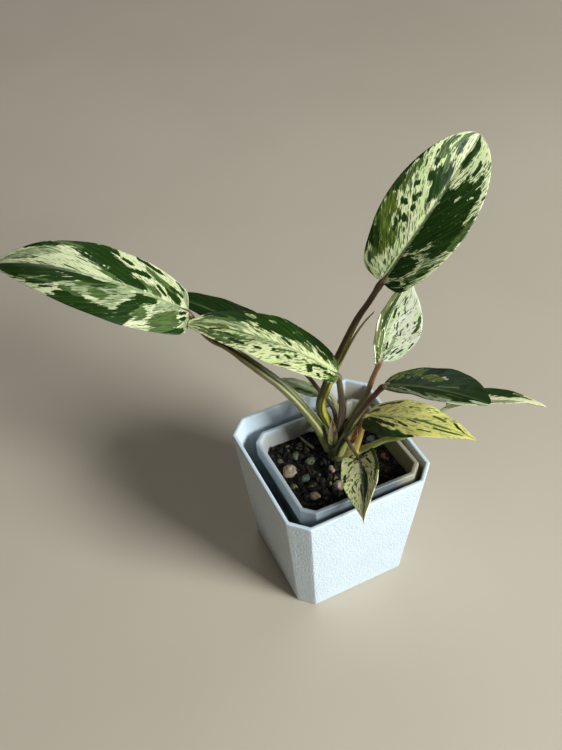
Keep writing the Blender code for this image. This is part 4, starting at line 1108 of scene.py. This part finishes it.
def build_cover_pot():
    h, wall = 82.0, 2.2
    base, top = (33.0, 7.2), (40.0, 8.9)

    def sec(z, d=0.0):
        f = z / h
        return offset((base[0] + (top[0] - base[0]) * f, base[1] + (top[1] - base[1]) * f), d)

    rings, side = [], []

    def add(z, d, s, rad=1.3):
        half, cut = sec(z, d)
        rings.append(ring_at(half, cut, z, rad))
        side.append(s)

    rings.append(ring_at(base[0] - 3.2, base[1] - 1.6, 0.9, 1.0))
    side.append(0)
    rings.append(ring_at(base[0] - 2.6, base[1] - 1.3, 0.0, 1.0))
    side.append(0)
    for z, d in ((0.0, -0.9), (0.12, -0.45), (0.4, -0.15), (0.8, 0.0)):
        add(z, d, 0.6)
    for z in np.linspace(1.6, h - 1.4, 42):
        add(z, 0.0, 1.0)
    for z, d, s in ((h - 0.9, 0.0, 0.8), (h - 0.45, -0.06, 0.5), (h - 0.15, -0.26, 0.2),
                    (h, -0.58, 0.05), (h, -wall + 0.58, 0.0), (h - 0.15, -wall + 0.26, 0.0),
                    (h - 0.45, -wall + 0.06, 0.0), (h - 0.9, -wall, 0.0)):
        add(z, d, s)
    for z in np.linspace(h - 4, 6, 12):
        add(z, -wall, 0.0, 1.0)
    for z, d in ((4.2, -wall - 0.2), (3.0, -wall - 0.8), (2.3, -wall - 2.0)):
        add(z, d, 0.0, 1.0)
    verts, faces = stack(rings)
    n = len(rings[0])
    s = np.concatenate([np.full(n, v) for v in side] + [[0, 0]])
    # no wall is perfectly flat
    bow = np.array([noise.noise(Vector((v[0] * 0.03, v[1] * 0.03, v[2] * 0.025))) for v in verts])
    flat = smoothstep(4, 18, verts[:, 2]) * (1 - smoothstep(72, 81, verts[:, 2]))
    away = unit(np.column_stack([verts[:, 0], verts[:, 1], np.zeros(len(verts))]))
    verts = verts + away * (0.14 * bow * flat)[:, None]
    # painted shade inside, on the right-hand wall
    within = np.concatenate([np.full(n, 1.0 if k > 52 else 0.0) for k in range(len(rings))]
                            + [[0, 0]])
    right_wall_shade = within * smoothstep(22, 34, verts[:, 0] + 0.15 * verts[:, 1]) \
        * (1 - smoothstep(h - 1.6, h - 0.6, verts[:, 2]))
    ob = make_object("cover_pot_shell", verts, faces, [cover_pot_material()],
                     attrs={"side": np.stack([s, right_wall_shade, s], 1)}, smooth=True)
    ob.data.set_sharp_from_angle(angle=math.radians(48))
    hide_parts("cover_pot")
    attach(ob, "root")


GROW_FRAME = (Matrix.Translation(Vector((2.75, -1.25, 79.0)))
              @ Matrix.Rotation(math.radians(-7.0), 4, "X")
              @ Matrix.Rotation(math.radians(-1.4), 4, "Z"))
GROW_ROT = np.array(GROW_FRAME.to_3x3())
GROW_AT = np.array(GROW_FRAME.to_translation())
GROW_DEPTH, GROW_WALL, GROW_BAND = 74.3, 1.2, 9.5
MOUTH, FLOOR = (30.4, 4.6), (19.2, 3.2)


def placed(v):
    return np.asarray(v, float) @ GROW_ROT.T + GROW_AT


def grow_inside(z):
    f = -z / (GROW_DEPTH - GROW_WALL)
    return MOUTH[0] + (FLOOR[0] - MOUTH[0]) * f, MOUTH[1] + (FLOOR[1] - MOUTH[1]) * f


def grow_pot_material():
    m = Shader("milky_plastic", 0.34, 0.5)
    p = m.here()
    cloud = m.noise(p, 45, 4.0)
    col = m.mix(m.step(cloud, 0.3, 0.7), (0.43, 0.475, 0.505), (0.50, 0.55, 0.575))
    level, painted_shade, brown = m.split(m.attribute("side").outputs["Color"])
    mottle = m.noise(m.scaled(p, 1, 1, 0.5), 260, 4.0, 0.65)
    # darker and browner lower down the inside wall
    low = m.step(m.math("ADD", level, m.math("MULTIPLY", m.math("SUBTRACT", mottle, 0.5), 0.5)),
                 0.05, 0.55)
    col = m.mix(m.math("MULTIPLY", low, 0.60), col, (0.36, 0.32, 0.24))
    # painted shade: a dark blue-grey toward the front and the right-hand side, and a brown cast on the
    # right-hand side
    patchy = m.math("MULTIPLY", m.math("SUBTRACT", mottle, 0.5), 0.35)
    col = m.mix(m.step(m.math("ADD", painted_shade, patchy), 0.0, 1.0, 0.0, 0.86), col,
                (0.075, 0.090, 0.096))
    col = m.mix(m.step(m.math("ADD", brown, patchy), 0.0, 1.0, 0.0, 0.80), col,
                (0.43, 0.385, 0.285))
    drops = m.voronoi(p, 420.0)
    col = m.mix(m.math("MULTIPLY", m.step(drops, 0.22, 0.10), 0.10), col, (0.42, 0.40, 0.36))
    scuff = m.noise(m.scaled(p, 1, 1, 6), 300, 4.0, 0.6)
    normal = m.bump(scuff, 0.12, 0.0003)
    m.bsdf.inputs["Subsurface Weight"].default_value = 0.25
    m.bsdf.inputs["Subsurface Radius"].default_value = (1.0, 1.0, 1.0)
    m.bsdf.inputs["Subsurface Scale"].default_value = 0.002
    return m.out(Base_Color=col, Roughness=m.step(scuff, 0.3, 0.7, 0.28, 0.46), Normal=normal)


def build_grow_pot():
    rings, side = [], []

    def add(section, z, s, rad=1.1):
        rings.append(placed(ring_at(section[0], section[1], z, rad)))
        side.append(s)

    depth, wall = GROW_DEPTH, GROW_WALL
    add(offset(FLOOR, wall - 1.0), -depth, 0.3)
    add(offset(FLOOR, wall - 0.3), -depth + 0.12, 0.3)
    add(offset(FLOOR, wall), -depth + 0.8, 0.3)
    for z in np.linspace(-depth + 4, -GROW_BAND - 1.0, 16):
        add(offset(grow_inside(z), wall), z, 0.15)
    add(offset(grow_inside(-GROW_BAND), wall), -GROW_BAND - 0.3, 0.1)
    add(offset(MOUTH, 2.0), -GROW_BAND - 0.05, 0.1)
    add(offset(MOUTH, 2.32), -GROW_BAND + 0.2, 0.1)
    for z in (-GROW_BAND + 0.7, -7.0, -4.5, -2.0, -0.8):
        add(offset(MOUTH, 2.4), z, 0.0)
    for z, d in ((-0.35, 2.3), (-0.08, 2.05), (0.0, 1.7), (0.0, 0.65), (-0.1, 0.3), (-0.45, 0.05)):
        add(offset(MOUTH, d), z, 0.0)
    for z in (-1.5, -3.5, -5.5, -7.2, -8.4, -9.2, -10.5, -14):
        add(grow_inside(z), z, float(np.interp(-z, [1.0, 4.0, 9.0], [0.15, 0.55, 1.0])))
    add(grow_inside(-depth + wall + 1), -depth + wall + 1, 1.0)
    add(offset(FLOOR, -0.8), -depth + wall, 1.0)
    verts, faces = stack(rings)
    n = len(rings[0])
    s = np.concatenate([np.full(n, v) for v in side] + [[0.3, 1.0]])
    local = (verts - GROW_AT) @ GROW_ROT
    # painted shade: masks for the darkening toward the front-right and the brown cast on the right-hand
    # side
    front = 0.6 * local[:, 0] - local[:, 1]
    painted_shade = smoothstep(-6, 36, front)
    brown = smoothstep(12, 27, local[:, 0])
    ob = make_object("grow_pot_shell", verts, faces, [grow_pot_material()],
                     attrs={"side": np.stack([s, painted_shade, brown], 1)})
    # drainage holes through the floor
    floor = -depth + wall / 2
    for j, (x, y) in enumerate([(0, 0)] + [(a * 11, b * 11) for a in (-1, 1) for b in (-1, 1)]):
        bm = bmesh.new()
        bmesh.ops.create_cone(bm, cap_ends=True, segments=40, radius1=3 * MM, radius2=3 * MM,
                              depth=6 * MM)
        me = bpy.data.meshes.new("hole")
        bm.to_mesh(me)
        bm.free()
        cut = bpy.data.objects.new("hole", me)
        bpy.context.scene.collection.objects.link(cut)
        at = placed([(x, y, floor)])[0] * MM
        cut.matrix_world = Matrix.Translation(Vector(at)) @ GROW_FRAME.to_3x3().to_4x4()
        mod = ob.modifiers.new("hole", "BOOLEAN")
        mod.operation = "DIFFERENCE"
        mod.solver = "EXACT"
        mod.object = cut
        bpy.context.view_layer.update()
        dg = bpy.context.evaluated_depsgraph_get()
        done = bpy.data.meshes.new_from_object(ob.evaluated_get(dg))
        ob.modifiers.clear()
        old = ob.data
        ob.data = done
        bpy.data.meshes.remove(old)
        bpy.data.objects.remove(cut)
    ob.data.name = "grow_pot_shell"
    ob.data.set_sharp_from_angle(angle=math.radians(44))
    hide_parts("grow_pot")
    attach(ob, "root")


# --------------------------------------------------------------------- soil
def soil_material():
    m = Shader("potting_mix", 0.8, 0.22)
    p = m.here()
    cell = m.cells(p, 700.0)
    cr, cg, cb = m.split(cell)
    grit = m.noise(p, 1400, 4.0, 0.65)
    tint = m.attribute("tint").outputs["Color"]
    f = m.step(grit, 0.3, 0.75, 0.55, 1.5)
    col = m.mix(1.0, tint, m.node("ShaderNodeCombineColor", {0: f, 1: f, 2: f}).outputs[0],
                blend="MULTIPLY")
    col = m.mix(m.math("MULTIPLY", m.step(cr, 0.84, 0.97), 0.25), col, (0.035, 0.021, 0.011))
    fibre = m.noise(m.scaled(p, 1, 4, 1), 900, 3.0, 0.6)
    col = m.mix(m.math("MULTIPLY", m.step(fibre, 0.66, 0.75), 0.25), col, (0.05, 0.032, 0.018))
    wet = m.noise(p, 160, 3.0)
    rgh = m.step(wet, 0.35, 0.65, 0.42, 0.95)
    normal = m.bump(m.math("ADD", grit, m.math("MULTIPLY", fibre, 0.7)), 0.9, 0.0006)
    return m.out(Base_Color=col, Roughness=rgh, Normal=normal)


SOIL_LEVEL = -9.6


CHIPS = {
    "pumice_01": (-23.0, 6.7, 4.3, 3.9, 3.6, 0.42, 20, "pumice", (.42, .33, .22)),
    "pumice_02": (-19.2, -14.5, 3.0, 2.8, 2.6, 0.45, 75, "pumice", (.45, .35, .24)),
    "pumice_03": (-5.8, -14.3, 3.3, 3.1, 2.9, 0.42, 130, "pumice", (.44, .34, .24)),
    "gravel_01": (-10.8, 8.8, 3.2, 2.3, 1.9, 0.40, 15, "gravel", (.095, .11, .062)),
    "gravel_02": (-15.6, 15.7, 3.2, 2.2, 1.8, 0.40, 60, "gravel", (.09, .10, .06)),
    "gravel_03": (-18.2, -1.2, 3.0, 2.0, 1.6, 0.40, 25, "gravel", (.070, .105, .080)),
    "gravel_04": (-25.4, -3.6, 1.6, 2.4, 1.5, 0.40, 10, "gravel", (.15, .15, .045)),
    "gravel_05": (-17.6, -7.4, 2.9, 1.5, 1.3, 0.38, 35, "gravel", (.12, .12, .035)),
    "gravel_06": (-12.8, -6.2, 1.2, 2.2, 1.2, 0.38, -10, "gravel", (.16, .15, .055)),
    "gravel_07": (-9.6, 22.6, 2.2, 1.7, 1.3, 0.40, 50, "gravel", (.085, .085, .040)),
    "gravel_08": (-24.4, 16.1, 2.2, 1.7, 1.4, 0.40, 80, "gravel", (.10, .095, .050)),
    "gravel_09": (24.2, 7.2, 2.7, 2.4, 1.9, 0.40, 30, "gravel", (.11, .15, .155)),
    "bark_01": (24.4, -7.4, 3.4, 2.0, 1.4, 0.38, 110, "bark", (.13, .055, .022)),
}


def soil_height(x, y):
    edge = max(abs(x), abs(y)) / MOUTH[0]
    fade = max(0.0, 1.0 - edge ** 4)
    wave = (math.sin(0.31 * x + 1.3) * math.cos(0.27 * y - 0.4)
            + 0.6 * math.sin(0.53 * y + 0.9 * math.sin(0.21 * x)))
    return 0.7 * fade * wave


def crumb(centre, size, seed, level=1):
    """A small angular bit: a dented ball, squashed and turned."""
    seg, rings = (7, 4) if level == 1 else (12, 8)
    verts = []
    r = random.Random(seed)
    sx, sy, sz = (size * r.uniform(0.6, 1.25), size * r.uniform(0.45, 0.95),
                  size * r.uniform(0.35, 0.7))
    rot = np.array(Matrix.Rotation(r.uniform(0, 6.28), 3, "Z")
                   @ Matrix.Rotation(r.uniform(-0.6, 0.6), 3, "X")
                   @ Matrix.Rotation(r.uniform(-0.6, 0.6), 3, "Y"))
    for i in range(rings + 1):
        th = math.pi * i / rings
        for j in range(seg):
            ph = 2 * math.pi * j / seg + 0.5 * (i % 2)
            verts.append((math.sin(th) * math.cos(ph), math.sin(th) * math.sin(ph), math.cos(th)))
    v = np.array(verts)
    k = np.array([noise.noise(Vector((a * 1.3 + seed * 0.37, b * 1.3, c * 1.3 - seed * 0.21)))
                  for a, b, c in v])
    v = v * (1 + 0.55 * k)[:, None] * np.array((sx, sy, sz))
    return v @ rot.T + np.array(centre), grid_faces(rings + 1, seg, flip=True, wrap=True)


def build_soil():
    mat = soil_material()
    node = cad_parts["potting_soil"]
    bits = Bits()
    # the loose top layer
    half, cut = grow_inside(SOIL_LEVEL)
    half -= 0.25
    n = 150
    g = np.linspace(-1, 1, n)
    xs, ys = np.meshgrid(g, g, indexing="ij")
    # square grid pulled into the cut corners
    x, y = xs * half, ys * half
    over = np.maximum(0, np.abs(x) + np.abs(y) - (2 * half - cut))
    x, y = x - np.sign(x) * over / 2, y - np.sign(y) * over / 2
    z = np.zeros_like(x)
    for i in range(n):
        for j in range(n):
            a, b = x[i, j], y[i, j]
            h = soil_height(a, b)
            edge = 1 - max(abs(a), abs(b)) / half
            h += 0.95 * fbm(a, b, 0, 0.28, 4, 1.3) + 0.60 * fbm(a, b, 0, 0.9, 3, 5.1)
            h += 0.30 * min(edge * 8, 1)
            z[i, j] = SOIL_LEVEL + h
    top = np.stack([x, y, z], -1).reshape(-1, 3)
    low = top.copy()
    low[:, 2] = SOIL_LEVEL - 2.6
    faces = grid_faces(n, n, flip=True) + grid_faces(n, n, n * n)
    for i in range(n - 1):
        for a, b, f in ((i * n, (i + 1) * n, True), (i * n + n - 1, (i + 1) * n + n - 1, False),
                        (i, i + 1, False), ((n - 1) * n + i, (n - 1) * n + i + 1, True)):
            faces.append((a, b, b + n * n, a + n * n) if f else (b, a, a + n * n, b + n * n))
    tint = np.full((len(top), 3), (0.0065, 0.0050, 0.0038))
    patch = np.array([fbm(a, b, 0, 0.16, 3, 9.0) for a, b, _ in top])
    tint = tint * (1 + 0.8 * np.clip(patch, -0.6, 1.0))[:, None]
    allv = placed(np.concatenate([top, low]))
    bits.add(allv, faces, np.concatenate([top[:, :2], low[:, :2]]) / 10,
             np.concatenate([tint, tint]))
    # bark and peat crumbs, then grit of muted greens and greys, denser on the left
    shades = [(0.010, 0.008, 0.006), (0.016, 0.011, 0.007), (0.032, 0.020, 0.011),
              (0.006, 0.006, 0.005), (0.022, 0.021, 0.012), (0.055, 0.033, 0.016)]
    weights = [6, 5, 3, 7, 2, 1]
    grits = [(0.085, 0.095, 0.040), (0.060, 0.085, 0.050), (0.12, 0.11, 0.055),
             (0.045, 0.060, 0.045), (0.14, 0.13, 0.085), (0.050, 0.075, 0.018),
             (0.16, 0.12, 0.07)]

    def lay(a, b, size, colour, seed, level=1, proud=0.25):
        zc = SOIL_LEVEL + soil_height(a, b) + 0.55 * fbm(a, b, 0, 0.28, 3, 1.3) \
            + proud * size + 0.25
        v, f = crumb((a, b, zc), size, seed, level)
        jit = rng.uniform(0.7, 1.3)
        bits.add(placed(v), f, v[:, :2] / 10, np.full((len(v), 3), [c * jit for c in colour]))

    def inside(a, b):
        return abs(a) + abs(b) < 2 * half - cut - 2.4

    for i in range(900):
        a, b = rng.uniform(-half + 1.4, half - 1.4), rng.uniform(-half + 1.4, half - 1.4)
        if inside(a, b):
            lay(a, b, 0.5 + 1.7 * rng.random() ** 2.4, rng.choices(shades, weights)[0], i)
    for i in range(150):
        a = rng.triangular(-half + 2.0, half - 2.0, -half * 0.45)
        b = rng.uniform(-half + 2.0, half - 2.0)
        far = min([math.hypot(a - c[0], b - c[1]) / max(c[2], c[3]) for c in CHIPS.values()])
        if inside(a, b) and far > 1.25 and (a + 6) ** 2 + (b - 3) ** 2 > 40:
            size = 0.5 + 1.1 * rng.random() ** 1.8
            lay(a, b, size, rng.choice(grits), 2000 + i, 2, 0.30)
    top_ob = bits.build("soil_top", [mat], merge=0.0)
    bm = bmesh.new()
    bm.from_mesh(top_ob.data)
    bmesh.ops.recalc_face_normals(bm, faces=bm.faces)
    bm.to_mesh(top_ob.data)
    bm.free()
    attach(top_ob, "root")
    plain = Shader("potting_mix_block", 0.85, 0.35)
    p = plain.here()
    grit = plain.noise(p, 1300, 4.0, 0.65)
    big = plain.voronoi(p, 420.0)
    col = plain.mix(plain.step(grit, 0.3, 0.7), (0.011, 0.009, 0.007), (0.045, 0.030, 0.018))
    col = plain.mix(plain.step(big, 0.25, 0.1), col, (0.06, 0.04, 0.022))
    plain.out(Base_Color=col, Normal=plain.bump(grit, 0.8, 0.0006))
    for place in node.material_slots:
        place.material = plain.mat


# ------------------------------------------------------------- soil pieces


def stone_material(name, kind):
    rough = {"pumice": 0.9, "gravel": 0.75, "bark": 0.8}[kind]
    m = Shader(name, rough, 0.35)
    p = m.here()
    tint = m.attribute("tint").outputs["Color"]
    a = m.noise(p, 520, 5.0, 0.65)
    f = m.step(a, 0.3, 0.75, 0.62, 1.28)
    col = m.mix(1.0, tint, m.node("ShaderNodeCombineColor", {0: f, 1: f, 2: f}).outputs[0],
                blend="MULTIPLY")
    if kind == "pumice":
        pits = m.voronoi(p, 1500.0)
        col = m.mix(m.math("MULTIPLY", m.step(pits, 0.30, 0.14), 0.75), col, (0.16, 0.11, 0.06))
        rust = m.noise(p, 260, 3.0)
        col = m.mix(m.math("MULTIPLY", m.step(rust, 0.52, 0.68), 0.55), col, (0.42, 0.22, 0.12))
        height = m.math("ADD", m.math("MULTIPLY", m.step(pits, 0.1, 0.4), 1.0), a)
    elif kind == "bark":
        height = m.noise(m.scaled(p, 1, 5, 1), 700, 4.0, 0.6)
        col = m.mix(m.math("MULTIPLY", m.step(height, 0.45, 0.65), 0.5), col, (0.38, 0.18, 0.07))
    else:
        spots = m.noise(p, 1700, 3.0, 0.6)
        col = m.mix(m.math("MULTIPLY", m.step(spots, 0.56, 0.66), 0.5), col, (0.42, 0.42, 0.28))
        dark = m.noise(p, 900, 3.0)
        col = m.mix(m.math("MULTIPLY", m.step(dark, 0.55, 0.68), 0.6), col, (0.03, 0.03, 0.02))
        height = m.math("ADD", a, m.math("MULTIPLY", spots, 0.5))
    return m.out(Base_Color=col, Normal=m.bump(height, 0.85, 0.0007),
                 Roughness=m.step(a, 0.3, 0.7, rough - 0.12, rough + 0.05))


def build_chips():
    mats = {k: stone_material(k + "_stone", k) for k in ("pumice", "gravel", "bark")}
    for i, (name, (x, y, rx, ry, rz, sunk, turn, kind, colour)) in enumerate(CHIPS.items()):
        z = SOIL_LEVEL + soil_height(x, y) + rz * (1 - 2 * sunk) + 0.25
        v, f, n = blob((0, 0, 0), (rx, ry, rz), 44, 30, 0.16, 0.34, 3.7 * i)
        # blunt corners: flatten the ball against a few random planes
        r = random.Random(40 + i)
        for _ in range(9):
            d = unit(np.array([r.uniform(-1, 1), r.uniform(-1, 1), r.uniform(-0.4, 1)]))
            limit = np.abs(v @ d).max() * r.uniform(0.74, 0.9)
            over = np.maximum(0, v @ d - limit)
            v = v - d[None] * (over * 0.85)[:, None]
        fine = np.array([fbm(*p, 1.1, 3, i * 1.1) for p in v])
        v = v + n * (0.14 * fine)[:, None]
        rot = np.array(Matrix.Rotation(math.radians(turn), 3, "Z"))
        v = placed(v @ rot.T + np.array((x, y, z)))
        shade = 1 + 0.25 * np.clip(np.array([fbm(*p, 0.25, 2, i) for p in v]), -1, 1)
        bits = Bits()
        bits.add(v, f, n[:, :2], np.array(colour)[None] * shade[:, None])
        ob = bits.build(name.replace("_", "_bit_"), [mats[kind]])
        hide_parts(name)
        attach(ob, "root")


# ------------------------------------------------------------ stage, light
def build_stage():
    mesh = bpy.data.meshes.new("floor")
    s = 4.0
    mesh.from_pydata([(-s, -s, 0), (s, -s, 0), (s, s, 0), (-s, s, 0)], [], [(0, 1, 2, 3)])
    floor = bpy.data.objects.new("floor", mesh)
    bpy.context.scene.collection.objects.link(floor)
    m = Shader("table_top", 0.7, 0.3)
    p = m.here()
    n = m.noise(p, 3.0, 3.0)
    fine = m.noise(p, 700, 3.0)
    col = m.mix(m.step(n, 0.3, 0.7), (0.515, 0.437, 0.335), (0.555, 0.475, 0.368))
    mesh.materials.append(m.out(Base_Color=col, Normal=m.bump(fine, 0.08, 0.0002)))

    def area(name, at, target, size, size_y, power, colour):
        data = bpy.data.lights.new(name, "AREA")
        data.shape = "RECTANGLE"
        data.size, data.size_y = size, size_y
        data.energy = power
        data.color = colour
        ob = bpy.data.objects.new(name, data)
        ob.location = at
        ob.rotation_euler = (Vector(target) - Vector(at)).to_track_quat("-Z", "Y").to_euler()
        bpy.context.scene.collection.objects.link(ob)

    area("window", (0.80, -1.22, 0.90), (0, 0, 0.08), 0.66, 0.60, 46.0, (0.88, 0.96, 1.0))
    area("sky", (0.2, 1.35, 1.5), (0, 0, 0.12), 1.2, 1.0, 6.5, (0.86, 0.94, 1.0))
    area("front_fill", (-0.25, -1.9, 1.4), (0, 0, 0.08), 1.6, 1.4, 1.8, (1.0, 0.92, 0.80))
    world = bpy.data.worlds.new("room")
    world.use_nodes = True
    world.node_tree.nodes["Background"].inputs[0].default_value = (1.0, 0.94, 0.84, 1.0)
    world.node_tree.nodes["Background"].inputs[1].default_value = 0.065
    bpy.context.scene.world = world
    bpy.context.scene.view_settings.view_transform = "Standard"
    bpy.context.scene.view_settings.look = "None"


def build_camera():
    data = bpy.data.cameras.new("camera")
    data.sensor_fit = "AUTO"
    data.sensor_width = 36.0
    data.lens = CAM_LENS
    data.clip_start = 0.01
    cam = bpy.data.objects.new("camera", data)
    rot = Matrix((CAM_RIGHT, CAM_UP, CAM_BACK)).transposed()
    cam.matrix_world = Matrix.Translation(CAM_AT) @ rot.to_4x4()
    bpy.context.scene.collection.objects.link(cam)
    bpy.context.scene.camera = cam


build_camera()
build_stage()
build_cover_pot()
build_grow_pot()
build_soil()
build_chips()
STALK = petiole_material("living_stalk")
DRY = petiole_material("dry_skin", 0.62, 0.6)
build_crown(STALK)
for index in range(1, 11):
    build_petiole(index, STALK)
for index in range(1, 11):
    build_leaf(index)
build_scale("bud_scale_dry", "cataphyll_dry", (10.2, -2.6, 83.4), 9.8, 6.4, 20, 48, 12, 20,
            [(0, (.30, .16, .07)), (.4, (.60, .24, .11)), (1, (.80, .38, .19))], DRY, 3.0)
build_scale("bud_scale_papery", "cataphyll_papery", (2.6, 1.2, 82.0), 14.5, 5.4, 66, 69, 0, 24,
            [(0, (.12, .12, .036)), (.5, (.17, .14, .052)), (1, (.24, .14, .078))], DRY, 8.0)
build_root("root_tip", "root_nub", ((-1.5, -4.5, 72.6), (-2.0, -6.0, 73.2), (-1.2, -8.0, 73.0)),
           1.1, 1.0, [(0, (.30, .16, .10)), (1, (.42, .26, .18))], DRY, 1.0)
build_root("root_twig", "root_aerial", ((-2.5, 12, 70.6), (-4.5, 16, 71.6), (-6.5, 20.5, 73.4)),
           0.8, 0.6, [(0, (.20, .22, .10)), (1, (.24, .24, .12))], DRY, 2.0)
